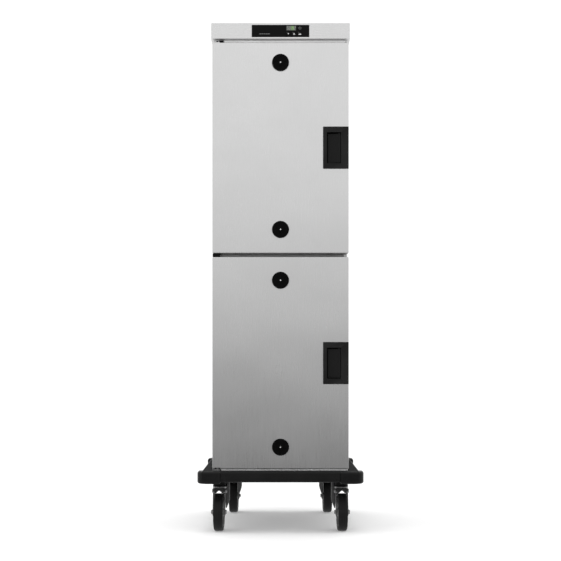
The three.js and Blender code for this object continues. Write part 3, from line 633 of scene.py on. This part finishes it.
def caster_wheel(corner, at):
    """Tyre with two grooves and bead lines, and a wheel centre with eight ribs."""
    wheel = f"wheel_{corner}"
    tread = both_sides([
        (62.5, 2), (62.0, 2.4), (62.0, 3.0), (62.5, 3.4), (62.5, 7), (62.2, 10.4), (61.3, 12.9), (59.6, 14.8),
        (57.5, 15.8), (55.2, 15.9), (54.6, 15.4), (54, 15.9), (51.5, 15.4), (49.2, 14.6),
    ])
    tyre = lathe(f"caster_tread_{corner}", tread, AXLE, RIGHT, TYRE, 96, closed=True, smooth=50)
    place(moved(tyre, at), wheel, [f"caster_tyre_{corner}"])
    hub = both_sides([
        (49, 13.6), (48.4, 14.2), (44.6, 14.2), (43.6, 13.4), (40, 5.2), (15, 6.5), (13, 15.4), (12.4, 16),
        (5.3, 16),
    ])
    parts = [lathe("hub", hub, AXLE, RIGHT, HUB, closed=True)]
    for i in range(8):
        rib = prism("rib", [(-1.4, 12), (1.4, 12), (1.1, 44.5), (-1.1, 44.5)], -11.5, 11.5, HUB, "X")
        parts.append(moved(rib, Matrix.Translation(AXLE) @ Matrix.Rotation(math.radians(45 * i), 4, "X")))
    centre = merged(f"caster_wheel_centre_{corner}", parts)
    place(moved(centre, at), wheel, [f"caster_hub_{corner}"])


for corner in CORNERS:
    at = caster_place(corner)
    for build in (caster_neck, caster_fork, caster_lock, caster_crown, caster_axle, caster_wheel):
        build(corner, at)


# ---------------------------------------------------------------- cabinet body

# Thickness of the steel sheet.
SHEET = 1.2


def casing():
    low, high = span("outer_casing")
    skin = box("cabinet_casing", low, high, STEEL, 3)
    sheet = Vector((SHEET, SHEET, SHEET))
    liner_low, liner_high = span("inner_liner")
    rail_low, rail_high = span("mid_rail")
    x = liner_high.x - SHEET
    y0, y1 = low.y - 5, low.y + 5
    carve(
        skin,
        box("inside", low + sheet, high - sheet, STEEL),
        box("way", (-x, y0, liner_low.z + SHEET), (x, y1, rail_low.z), STEEL),
        box("way", (-x, y0, rail_high.z), (x, y1, liner_high.z - SHEET), STEEL),
    )
    place(soften(skin, 0.35, 1, 60), "cabinet", ["outer_casing"])

    # Folded seams and rivets along the back edges of both sides.
    seams, rivets = [], []
    rivet = [(0, 1.3), (1.2, 1.1), (2.4, 0), (2.4, -0.5)]
    for side in SIDES:
        x0, x1 = sorted((side * (high.x - 1.0), side * (high.x + 0.9)))
        seams.append(box("seam", (x0, high.y - 26, low.z + 6), (x1, high.y - 3.5, high.z - 4), STEEL, 0.7, 2))
        for i in range(15):
            centre = (side * (high.x + 0.8), high.y - 15, low.z + 40 + i * (high.z - low.z - 80) / 14)
            rivets.append(lathe("rivet", rivet, centre, (side, 0, 0), SCREW_STEEL, 14))
    place(merged("side_seams", seams), "cabinet")
    place(merged("side_rivets", rivets), "cabinet")
    rear_cover(high.y)
    inlet_plate(high.y)


def rear_cover(y):
    """Service cover on the back with pressed louvres, held by screws."""
    face = y + 1.4
    cover = prism("rear_cover", round_rect(-188, 380, 188, 1540, 8), y - 0.5, face, STEEL)
    place(soften(cover, 0.5, 2, 50), "cabinet")
    louvres, slots = [], []
    for lowest in (430, 1390):
        for i in range(7):
            z = lowest + i * 17
            profile = [(y + 1.2, z), (y + 1.2, z + 11), (y + 2.2, z + 10), (y + 5, z + 1.2), (y + 5, z)]
            louvres.append(prism("louvre", profile, -120, 120, STEEL, "X"))
            # Black boxes behind the louvres are painted shade in the openings.
            slots.append(box("slot", (-117, y + 1.1, z - 1.6), (117, y + 1.55, z + 0.2), SHADE, 0.1, 1))
    place(soften(merged("rear_louvres", louvres), 0.6), "cabinet")
    place(merged("rear_louvre_painted_shade", slots), "cabinet")
    points = [(side * 180, face, 390 + i * 190) for side in SIDES for i in range(7)]
    points += [(side * 60, face, z) for side in SIDES for z in (388, 1532)]
    screws("rear_cover_screws", points, BACK, 3.4, "cabinet")


def inlet_plate(y):
    """Power inlet in its plate."""
    low, high = span("power_inlet")
    cad("power_inlet", PADDLE, 0.8)
    face = y + 1.6
    outline = round_rect(low.x - 14, low.z - 8, high.x + 14, high.z + 8, 5)
    place(soften(prism("inlet_plate", outline, y - 0.3, face, ZINC), 0.5, 2, 50), "cabinet")
    z = (low.z + high.z) / 2
    screws("inlet_screws", [(low.x - 7, face, z), (high.x + 7, face, z)], BACK, 3, "cabinet")


def interior():
    cad("insulation", FOAM)
    cad("inner_liner", LINER_STEEL, 0.4)
    cad("mid_rail", LINER_STEEL, 1.6, 3)
    front = span("outer_casing")[0].y
    # The strip's darker steel is painted shade in the gap between the doors.
    strip = box("mullion_strip", (-199, front - 1.5, 903), (212, front + 0.3, 927.5), MULLION_STEEL, 0.6, 2)
    place(strip, "cabinet")
    for node, steel in (("rack_left", RACK_STEEL), ("rack_right", RACK_STEEL), ("air_baffle", LINER_STEEL)):
        cad(node, steel, 0.35, 1)


def heater():
    """Heater's housing with air slits, and its water pan."""
    low, high = span("heater_unit")
    housing = box("heater_housing", low, high, LINER_STEEL, 5, 4)
    well = box("well", (-100, -110, 290), (100, 50, high.z + 20), LINER_STEEL, 7)
    slits = []
    for i in range(14):
        x = -95 + 14 * i
        slit_low, slit_high = (x, low.y - 5, low.z + 16), (x + 6, low.y + 12, high.z - 20)
        slits.append(box("slit", slit_low, slit_high, LINER_STEEL, 2.4))
    carve(housing, well, merged("slits", slits))
    place(soften(housing, 0.5, 1, 50), "cabinet", ["heater_unit"])
    rim_outline, hole_outline = round_rect(-106, -116, 106, 56, 10), round_rect(-98.5, -108.5, 98.5, 48.5, 7)
    rim = prism("water_pan_rim", rim_outline, high.z - 0.3, high.z + 1.2, LINER_STEEL, "Z")
    carve(rim, prism("hole", hole_outline, high.z - 5, high.z + 5, LINER_STEEL, "Z"))
    place(soften(rim, 0.4, 1, 50), "cabinet")


def fan_guard():
    """Rings, spokes and feet of wire over the fan's opening in the heater's top."""
    y, top = 103, span("heater_unit")[1].z
    outer = 42
    guard = []
    for radius in (10, 18, 26, 34, outer):
        wire = circle(radius, 0, 1.1, 8)
        guard.append(lathe("ring", wire, (0, y, top + 7), UP, SCREW_STEEL, 40, closed=True))
    for i in range(4):
        spoke = box("spoke", (-outer, -1, 0), (outer, 1, 2), SCREW_STEEL, 0.6, 1)
        turn = Matrix.Rotation(math.radians(45 * i + 20), 4, "Z")
        guard.append(moved(spoke, Matrix.Translation((0, y, top + 4.4)) @ turn))
    for u, v in arc(0, y, outer, 20, 290, 3):
        foot = [(0, 0), (1.6, 0), (1.6, 6), (0, 6)]
        guard.append(lathe("foot", foot, (u, v, top - 0.3), UP, SCREW_STEEL, 12))
    place(merged("fan_guard", guard), "cabinet")
    # A black disc under the guard is painted shade in the fan's opening.
    well = [(0, 0.15), (39, 0.15), (40.5, 0.9), (42, 0.4), (42, -1), (0, -1)]
    place(lathe("fan_opening_painted_shade", well, (0, y, top + 0.2), UP, SHADE, 48), "cabinet")


def interior_screws():
    """Screws of the heater's housing and of the air baffle."""
    low, high = span("heater_unit")
    points = [(side * (high.x - 9), y, high.z) for side in SIDES for y in (low.y + 10, high.y - 10)]
    screws("heater_screws", points, UP, 3.2, "cabinet")
    low, high = span("air_baffle")
    points = [(side * (high.x - 30), low.y, z) for side in SIDES for z in (low.z + 30, high.z - 30)]
    screws("baffle_screws", points, FRONT, 4, "cabinet")


# ---------------------------------------------------------------- top and controls

FASCIA_LIP = 2.5


def fascia_opening():
    """Half width, bottom and top of the opening for the control panel."""
    low, high = span("control_fascia")
    return high.x - FASCIA_LIP, low.z + FASCIA_LIP, high.z - FASCIA_LIP


def top_cap():
    low, high = span("top_cap")
    bottom = 1629.6
    cap = box("cap_shell", (low.x, low.y, bottom - 8), high, CAP_STEEL, 3.2, 4)
    trim = box("trim", (low.x - 5, low.y - 5, bottom - 20), (high.x + 5, high.y + 5, bottom), CAP_STEEL)
    x, z0, z1 = fascia_opening()
    recess_low, recess_high = (-x - 0.6, low.y - 5, z0 - 0.6), (x + 0.6, low.y + 16, z1 + 0.6)
    carve(cap, trim, box("recess", recess_low, recess_high, CAP_STEEL))
    cap.data.materials.append(TOP_STEEL)
    for face in cap.data.polygons:
        if abs(face.normal.z) > 0.75:
            face.material_index = 1
    place(soften(cap, 0.3, 1, 60), "cabinet", ["top_cap"])

    # The neck steps back at its left end, where the hinge's pin stands.
    foot, top, half_width = span("outer_casing")[1].z + 0.1, bottom + 1, 214.5
    # The neck's near-white steel is painted light in the gap under the cap.
    neck = box("cap_neck", (-half_width, -308, foot), (half_width, 322, top), NECK_STEEL, 1.2, 2)
    combine(neck, "UNION", [box("step", (-186, -312, foot), (half_width, -300, top), NECK_STEEL, 1.2, 2)])
    place(neck, "cabinet")
    seams = []
    for side in SIDES:
        x0, x1 = sorted((side * (high.x - 0.35), side * (high.x + 0.06)))
        seam_low, seam_high = (x0, high.y - 20.6, bottom + 3.5), (x1, high.y - 20, high.z - 3.5)
        seams.append(box("line", seam_low, seam_high, SHADE, 0.05, 1))
    place(merged("cap_seam_lines", seams), "cabinet")
    for side, word in zip(SIDES, ("left", "right")):
        points = [(side * high.x, y, 1656) for y in (-240, 0, 240)]
        screws(f"cap_screws_{word}", points, (side, 0, 0), 3.4, "cabinet")


def bar(x, z, width, height, turn=0.0):
    """A straight mark with its middle at (x, z), turned by an angle in degrees."""
    c, s = math.cos(math.radians(turn)), math.sin(math.radians(turn))
    corners = [(u * width / 2, v * height / 2) for u, v in ((-1, -1), (1, -1), (1, 1), (-1, 1))]
    return [(x + u * c - v * s, z + u * s + v * c) for u, v in corners]


def seven_segments(x, z, width, height, lit):
    """Outlines of one digit's segments, which lean slightly to the right."""
    thick = width * 0.2
    places = {
        "a": (0, height / 2), "g": (0, 0), "d": (0, -height / 2),
        "b": (width / 2, height / 4), "c": (width / 2, -height / 4),
        "f": (-width / 2, height / 4), "e": (-width / 2, -height / 4),
    }
    shapes = []
    for key in lit:
        u, v = places[key]
        upright = key in "bcef"
        half = ((height / 2 if upright else width) - thick * 1.15) / 2
        k = thick / 2
        outline = [(-half, 0), (-half + k, -k), (half - k, -k), (half, 0), (half - k, k), (-half + k, k)]
        if upright:
            outline = [(q, p) for p, q in outline]
        shapes.append([(x + u + p + 0.12 * (v + q), z + v + q) for p, q in outline])
    return shapes


def marks(name, outlines, y, material, body="cabinet"):
    """Flat marks on the panel, or on a key."""
    parts = [prism("mark", outline, y - 0.12, y + 0.05, material) for outline in outlines]
    place(merged(name, parts), body)


def about(u, v, half_width, half_height, radius):
    """Outline of a rectangle with round corners about a point."""
    return round_rect(u - half_width, v - half_height, u + half_width, v + half_height, radius)


def control_panel():
    low, high = span("control_fascia")
    x, z0, z1 = fascia_opening()
    plate = prism("panel_plate", round_rect(-x, z0, x, z1, 2.5), low.y, high.y, PANEL)
    window_low, window_high = span("display_window")
    gap = Vector((0.2, 0, 0.2))
    cut_low, cut_high = window_low - gap, window_high + gap
    outline = round_rect(cut_low.x, cut_low.z, cut_high.x, cut_high.z, 0.8)
    carve(plate, prism("cut", outline, low.y - 1, low.y + 2, PANEL))
    keys = {key: middle_of(key) for key in ("timer_key", "fan_key", "humidity_key", "power_key")}
    for key, middle in keys.items():
        outline = about(middle.x, middle.z, 7.3, 6, 1.6)
        carve(plate, prism("cut", outline, low.y - 1, high.y + 1, PANEL))
    place(soften(plate, 0.35, 2, 50), "cabinet", ["control_fascia"])
    cad("control_box", VENT, 1)
    for key, middle in keys.items():
        key_low, key_high = span(key)
        outline = about(middle.x, middle.z, 7, 5.7, 1.4)
        cap = prism(f"{key}_cap", outline, key_low.y, key_high.y - 1.6, PANEL)
        place(soften(cap, 0.45, 3, 50), key, [key])
    display(window_low, window_high)
    key_symbols(keys)
    # Plain bars on the left of the panel.
    marks("panel_bars", [bar(-67 + 7.2 * i, 1645, 5.4, 1.9) for i in range(5)], low.y, GREY_INK)


def display(low, high):
    """Glass and segments in the panel's window."""
    inset = 0.1
    y = low.y + 0.5
    glass_low, glass_high = (low.x + inset, y, low.z + inset), (high.x - inset, high.y, high.z - inset)
    place(box("display_glass", glass_low, glass_high, LCD, 0.4, 2), "cabinet", ["display_window"])
    z = (low.z + high.z) / 2
    pale_shapes, lit_shapes = [], []
    for u, lit in ((24.2, "acdfg"), (31.0, "abcdefg"), (47.2, "abged")):
        pale_shapes += seven_segments(u, z, 4.4, 10, lit)
    for u, lit in ((37.6, "abged"), (42.0, "abcfg")):
        lit_shapes += seven_segments(u, z, 3.0, 8.6, lit)
    marks("display_segments", pale_shapes, y, PALE_SEGMENT)
    marks("display_glow", [bar(39.8, z, 9.4, 13)], y + 0.1, GREEN_GLOW)
    marks("display_lit_segments", lit_shapes, y, GREEN_LIT)


def key_symbols(keys):
    """A dot, a roof and a dish, each with a slanted stroke above it, and the power sign."""
    face = span("timer_key")[0].y
    roof = [(0, 2.2), (-2.9, -2.0), (-1.2, -2.0), (0, -0.4), (1.2, -2.0), (2.9, -2.0)]
    dish = [(-4.6, -1.4), (-3.6, -3.8), (3.6, -3.8), (4.6, -1.4)]
    symbols = {
        "timer": [circle(0.2, -0.4, 1.7, 20)],
        "fan": [roof, bar(0, -3.2, 6.4, 0.9)],
        "humidity": [dish, circle(0.4, 0.2, 0.9, 14)],
    }
    for word, shapes in symbols.items():
        key = f"{word}_key"
        u, v = keys[key].x, keys[key].z
        shapes = [[(u + p, v + q) for p, q in shape] for shape in shapes]
        marks(f"{word}_symbol", shapes, face, WHITE_INK, key)
        marks(f"{word}_pointer", [bar(u - 4.0, v + 3.4, 3.4, 0.7, -38)], face, GREY_INK, key)
    u, v = keys["power_key"].x, keys["power_key"].z
    ring = arc(u, v, 4.3, 120, 420, 28) + arc(u, v, 3.4, 420, 120, 28)
    marks("power_symbol", [ring, bar(u, v + 2.6, 0.9, 4.2)], face, GREY_INK, "power_key")


# ---------------------------------------------------------------- doors

HINGE_AXIS = (-209, -308.5)
# The lower door's pan has no screws on the hinge side below this height.
HINGE_TOP = 240


def seal(name, body):
    """Folded rubber seal: a rectangular loop of a profile with two bulges."""
    low, high = span(f"{name}_door_gasket")
    depth, width = high.y - low.y, 16
    profile = [
        (0.00, 0.0), (0.00, 0.22), (0.16, 0.34), (0.05, 0.50), (0.04, 0.80), (0.22, 0.97), (0.50, 1.0),
        (0.78, 0.97), (0.96, 0.80), (0.95, 0.50), (0.84, 0.34), (1.00, 0.22), (1.00, 0.0),
    ]
    bm = bmesh.new()
    loops = []
    for u, v in profile:
        inset = u * width
        y = (low.y + v * depth) * MM
        radius = 18 - inset * 0.9
        outline = round_rect(low.x + inset, low.z + inset, high.x - inset, high.z - inset, radius, 4)
        loops.append([bm.verts.new((x * MM, y, z * MM)) for x, z in outline])
    for first, second in zip(loops, loops[1:] + loops[:1]):
        for i in range(len(first)):
            bm.faces.new((first[i - 1], first[i], second[i], second[i - 1]))
    place(link(f"{name}_door_seal", bm, SEAL, 50), body, [f"{name}_door_gasket"])


def vent(body, dial, door_front):
    """Turning dial with four windows over four holes in its base, and grips round its rim."""
    middle = middle_of(dial)
    x, z = middle.x, middle.z
    front = span(dial)[0].y
    hole_circle = 15
    profile = [
        (0, -4.2), (26.9, -4.2), (27.6, -3.9), (28, -3.2), (28, -1.1), (27.6, -0.4), (26.8, 0), (25.8, -0.1),
        (25.1, -0.6), (24.7, -0.95), (21.6, -1.0), (21.0, -0.75), (20.2, -0.75), (19.6, -1.0), (8.2, -1.0),
        (7.6, -0.4), (6.8, -0.15), (4.4, -0.1), (3.8, -0.5), (0, -0.5),
    ]
    face = lathe(f"{dial}_face", profile, (x, front, z), FRONT, VENT, 72)
    window = [(0, 6), (5.5, 6), (5.5, -12), (0, -12)]
    for u, v in circle(x, z, hole_circle, 4):
        carve(face, lathe("window", window, (u, front, v), FRONT, VENT, 32))
    place(soften(face, 0.3, 1, 60), dial, [dial])
    grips = []
    for i in range(24):
        grip = box("grip", (22.3, front + 0.35, -0.7), (24.6, front + 1.4, 0.7), VENT, 0.3, 1)
        turn = Matrix.Rotation(math.radians(15 * (i + 0.5)), 4, "Y")
        grips.append(moved(grip, Matrix.Translation((x, 0, z)) @ turn))
    place(merged(f"{dial}_grips", grips), dial)
    # The screw's near-white metal is partly a painted highlight.
    screw = [(0, -0.15), (1.9, -0.2), (2.3, -0.55), (2.3, -1)]
    place(lathe(f"{dial}_screw", screw, (x, front + 0.1, z), FRONT, DIAL_SCREW, 28), dial)

    profile = [(0, -1.2), (26.6, -1.2), (26.6, 1.2), (25.8, 1.6), (0, 1.6)]
    base = lathe(f"{dial}_base", profile, (x, door_front, z), FRONT, VENT)
    # Black discs at the bottom of the base's holes are painted shade inside them.
    floors = []
    for u, v in arc(x, z, hole_circle, 45, 315, 3):
        centre = (u, door_front, v)
        carve(base, lathe("hole", [(0, 6), (5, 6), (5, -0.6), (0, -0.6)], centre, FRONT, VENT, 28))
        floor = [(0, -0.4), (4.9, -0.4), (4.9, -0.7), (0, -0.7)]
        floors.append(lathe("floor", floor, centre, FRONT, SHADE, 28))
    place(base, body)
    place(merged(f"{dial}_holes", floors), body)


def handle(name, body):
    """Housing let into the door, and the paddle in it that turns on a barrel."""
    low, high = span(f"{name}_handle_bezel")
    z = (low.z + high.z) / 2
    flange_back, pocket_back = -328.7, -304
    outline = round_rect(low.x, low.z, high.x, high.z, (1.2, 1.2, 2.5, 2.5))
    housing = prism(f"{name}_handle_housing", outline, low.y, flange_back + 0.2, HANDLE)
    cup_low, cup_high = (146.3, flange_back - 0.4, z - 65.7), (high.x, high.y, z + 65.7)
    combine(housing, "UNION", [box("cup", cup_low, cup_high, HANDLE, 1.2, 2)])
    outline = round_rect(153.6, z - 51, 199.8, z + 51, 2)
    carve(housing, prism("pocket", outline, low.y - 5, pocket_back, HANDLE))
    place(soften(housing, 0.9, 3, 50), body, [f"{name}_handle_bezel"])

    # The paddle's plate sags slightly between its two edges.
    left, right, thick, steps = span(f"{name}_handle_paddle")[0].x + 2.4, 198.4, 3.2, 10
    points = []
    for i in range(steps + 1):
        t = i / steps
        sag = 1.8 * (1 - (2 * t - 1) ** 2)
        points.append((left + (right - left) * t, -320.5 - 7 * t + sag))
    outline = points + [(x, y + thick) for x, y in reversed(points)]
    plate = prism(f"{name}_handle_plate", outline, z - 49.4, z + 47.6, PADDLE, "Z")
    paddle = f"{name}_paddle"
    place(soften(plate, 0.9, 3, 50), paddle, [f"{name}_handle_paddle"])
    profile = both_sides([(4, 50), (2.4, 50), (2.4, 54), (0, 54)])
    barrel = lathe(f"{name}_handle_pivot", profile, (194, -321.2, z), UP, PADDLE, 24)
    place(barrel, paddle)
    # A black sheet at the back of the pocket is painted shade behind the paddle.
    floor_low, floor_high = (153.8, pocket_back - 0.3, z - 50.8), (199.6, pocket_back + 0.2, z + 50.8)
    place(box(f"{name}_handle_pocket_painted_shade", floor_low, floor_high, SHADE, 0.1, 1), body)


def boss_notch(low):
    """Recess in the lower door for the bottom hinge's boss, open to the front."""
    x, y = HINGE_AXIS
    radius, front = 9.7, low.y - 5
    outline = [(x + radius, front)] + arc(x, y, radius, 0, 180, 18) + [(x - radius, front)]
    return prism("notch", outline, low.z - 5, 213, STEEL, "Z")


def pin_bores(low, high, radius, depth, material):
    """Bores for the hinge pins at a door's lower and upper end."""
    outline = circle(*HINGE_AXIS, radius, 24)
    return [prism("bore", outline, end - depth, end + depth, material, "Z") for end in (low.z, high.z)]


def door(name):
    body = f"{name}_door"
    low, high = span(f"{name}_door_shell")
    z = middle_of(f"{name}_handle_bezel").z
    shell = box(f"{name}_door_skin", low, high, STEEL, 2.8, 4)
    carve(
        shell,
        box("cut", (146, low.y - 5, z - 66), (high.x + 5, -299, z + 66), STEEL),
        box("hollow", (low.x + 2, low.y + 9, low.z + 2), (high.x - 2, high.y + 5, high.z - 2), STEEL),
    )
    pan_low, pan_high = span(f"{name}_door_liner")
    pan_front = pan_high.y - 5.7
    pan = box(f"{name}_door_pan", (pan_low.x, pan_front, pan_low.z), pan_high, LINER_STEEL, 1.6)
    core_low, core_high = (low.x + 3, low.y + 10, low.z + 3), (140, pan_front + 1, high.z - 3)
    core = box(f"{name}_door_core", core_low, core_high, FOAM, 1, 1)
    if name == "lower":
        for part in (shell, pan, core):
            carve(part, boss_notch(low))
    carve(shell, *pin_bores(low, high, 5, 16, STEEL))
    place(soften(shell, 0.35, 1, 60), body, [f"{name}_door_shell"])

    # Back of the door: a pressed panel inside the seal.
    outline = round_rect(-158, pan_low.z + 62, 158, pan_high.z - 62, 12)
    carve(pan, prism("press", outline, pan_high.y - 2.2, pan_high.y + 5, LINER_STEEL))
    place(soften(pan, 0.8, 2, 50), body, [f"{name}_door_liner"])
    carve(core, *pin_bores(low, high, 6, 30, FOAM))
    place(core, body)
    pitch = (pan_high.z - pan_low.z) / 5.2
    points = [(side * 216, pan_high.y, pan_low.z + 30 + i * pitch) for side in SIDES for i in range(6)]
    points = [point for point in points if name == "upper" or point[0] > 0 or point[2] > HINGE_TOP]
    screws(f"{name}_door_pan_screws", points, BACK, 3, body)
    seal(name, body)
    for end in ("top", "bottom"):
        vent(body, f"{name}_vent_dial_{end}", low.y)
    handle(name, body)


def hinges():
    """The top hinge is a bright plate with a black pin. The middle bracket is black, the bottom one zinc."""
    cad("hinge_bracket_middle", BLACKED, 0.7)
    cad("hinge_bracket_bottom", ZINC, 0.7)
    low, high = span("hinge_bracket_top")
    outline = round_rect(low.x, low.y, high.x, high.y, (2, 1, 1, 4))
    plate = prism("hinge_top_plate", outline, 1617.6, 1620, BRIGHT, "Z")
    place(soften(plate, 0.5, 2, 50), "cabinet", ["hinge_bracket_top"])
    profile = [
        (0, 1603), (3.4, 1603), (4, 1603.8), (4, 1617), (5.6, 1617.2), (5.6, 1621), (3.6, 1621.8),
        (3.6, 1625.6), (2.6, 1626.4), (0, 1626.4),
    ]
    pin = lathe("hinge_top_pin", profile, (*HINGE_AXIS, 0), UP, BLACKED, 28)
    place(pin, "cabinet")
    lug = box("hinge_top_lug", (-203.2, low.y + 2, 1619.6), (-188, -308.4, 1625.4), BLACKED, 1, 2)
    place(lug, "cabinet")


def door_sill():
    """Hemmed steel sill under the lower door, in near-white metal that is a painted highlight of the door's
    bottom edge.
    """
    door_low, door_high = span("lower_door_shell")
    floor = span("base_bumper")[1].z
    half, back = 2.1, -280
    profile = arc(door_low.y + 3.4, floor + half, half, 90, 270, 12)
    profile += [(back, floor + 0.1), (back, floor + 2 * half)]
    sill = prism("door_sill", profile, -196, door_high.x - 3, SILL, "X")
    place(soften(sill, 0.3, 1, 60), "cabinet")


casing()
interior()
heater()
fan_guard()
interior_screws()
top_cap()
control_panel()
for name in ("upper", "lower"):
    door(name)
hinges()
door_sill()


# ---------------------------------------------------------------- camera, floor and light

def camera():
    data = bpy.data.cameras.new("camera")
    data.sensor_width = 36
    data.lens = 86.4
    data.shift_y = 0.161
    data.clip_end = 100
    eye = bpy.data.objects.new("camera", data)
    eye.location = (0, -4.7725, 0.533)
    eye.rotation_euler = (math.pi / 2, 0, 0)
    scene.collection.objects.link(eye)
    scene.camera = eye


# Lowest height on the world's ramp, taken downwards.
RAMP_START = 0.6


def studio():
    material, tree, point = blank("floor_white")
    mottle = noise(tree, point, 9, 4)
    colour = blended(tree, ranged(tree, mottle, 0, 1), grey(0.80), grey(0.84))
    finished(material, tree, {
        "Base Color": colour,
        "Roughness": 0.9,
        "Specular IOR Level": 0.0,
        "Emission Color": grey(1.0),
        "Emission Strength": 0.2,
    })
    bm = bmesh.new()
    bmesh.ops.create_grid(bm, x_segments=1, y_segments=1, size=30)
    floor = link("floor", bm, material)
    floor.visible_glossy = False

    world = bpy.data.worlds.new("studio")
    scene.world = world
    world.use_nodes = True
    tree = world.node_tree
    tree.nodes.clear()
    direction = put(tree, "ShaderNodeTexCoord").outputs["Generated"]
    axes = put(tree, "ShaderNodeSeparateXYZ", {"Vector": direction})
    height = axes.outputs["Z"]
    behind = ranged(tree, axes.outputs["Y"], 0.0, 1.0, 0.1, 0.5)
    place_on_ramp = put(tree, "ShaderNodeMapRange", {
        "Value": height, "From Min": -RAMP_START, "From Max": 0.4, "To Min": 0.0, "To Max": 1.0,
    }).outputs["Result"]
    ramp = put(tree, "ShaderNodeValToRGB", {"Fac": place_on_ramp})
    # Brightness of the world by the height of the direction.
    stops = (
        (-0.6, 0.9), (-0.42, 0.6), (-0.26, 0.18), (-0.12, 0.02), (-0.08, 0.04), (-0.045, 0.26), (0.0, 0.66),
        (0.05, 0.84), (0.1, 0.95), (0.19, 1.12), (0.25, 1.08), (0.4, 1.05),
    )
    elements = ramp.color_ramp.elements
    while len(elements) < len(stops):
        elements.new(0.5)
    for element, (z, value) in zip(elements, stops):
        element.position = z + RAMP_START
        element.color = grey(value)
    colour = blended(tree, behind, ramp.outputs["Color"], grey(1.0))
    lit = put(tree, "ShaderNodeBackground", {"Color": colour, "Strength": 1.0})
    white = put(tree, "ShaderNodeBackground", {"Color": grey(1.0), "Strength": 1.1})
    seen = put(tree, "ShaderNodeLightPath").outputs["Is Camera Ray"]
    mixed = put(tree, "ShaderNodeMixShader", {0: seen, 1: lit.outputs[0], 2: white.outputs[0]})
    put(tree, "ShaderNodeOutputWorld", {"Surface": mixed.outputs[0]})

    key = bpy.data.lights.new("key", "AREA")
    key.size, key.size_y, key.shape = 3.0, 2.0, "RECTANGLE"
    key.energy = 45
    lamp = bpy.data.objects.new("key", key)
    lamp.location = (-0.3, 0.2, 4.0)
    lamp.visible_glossy = False
    lamp.rotation_euler = (Vector((0, 0, 0.8)) - Vector(lamp.location)).to_track_quat("-Z", "Y").to_euler()
    scene.collection.objects.link(lamp)
    scene.view_settings.view_transform = "Standard"
    scene.view_settings.look = "None"


camera()
studio()
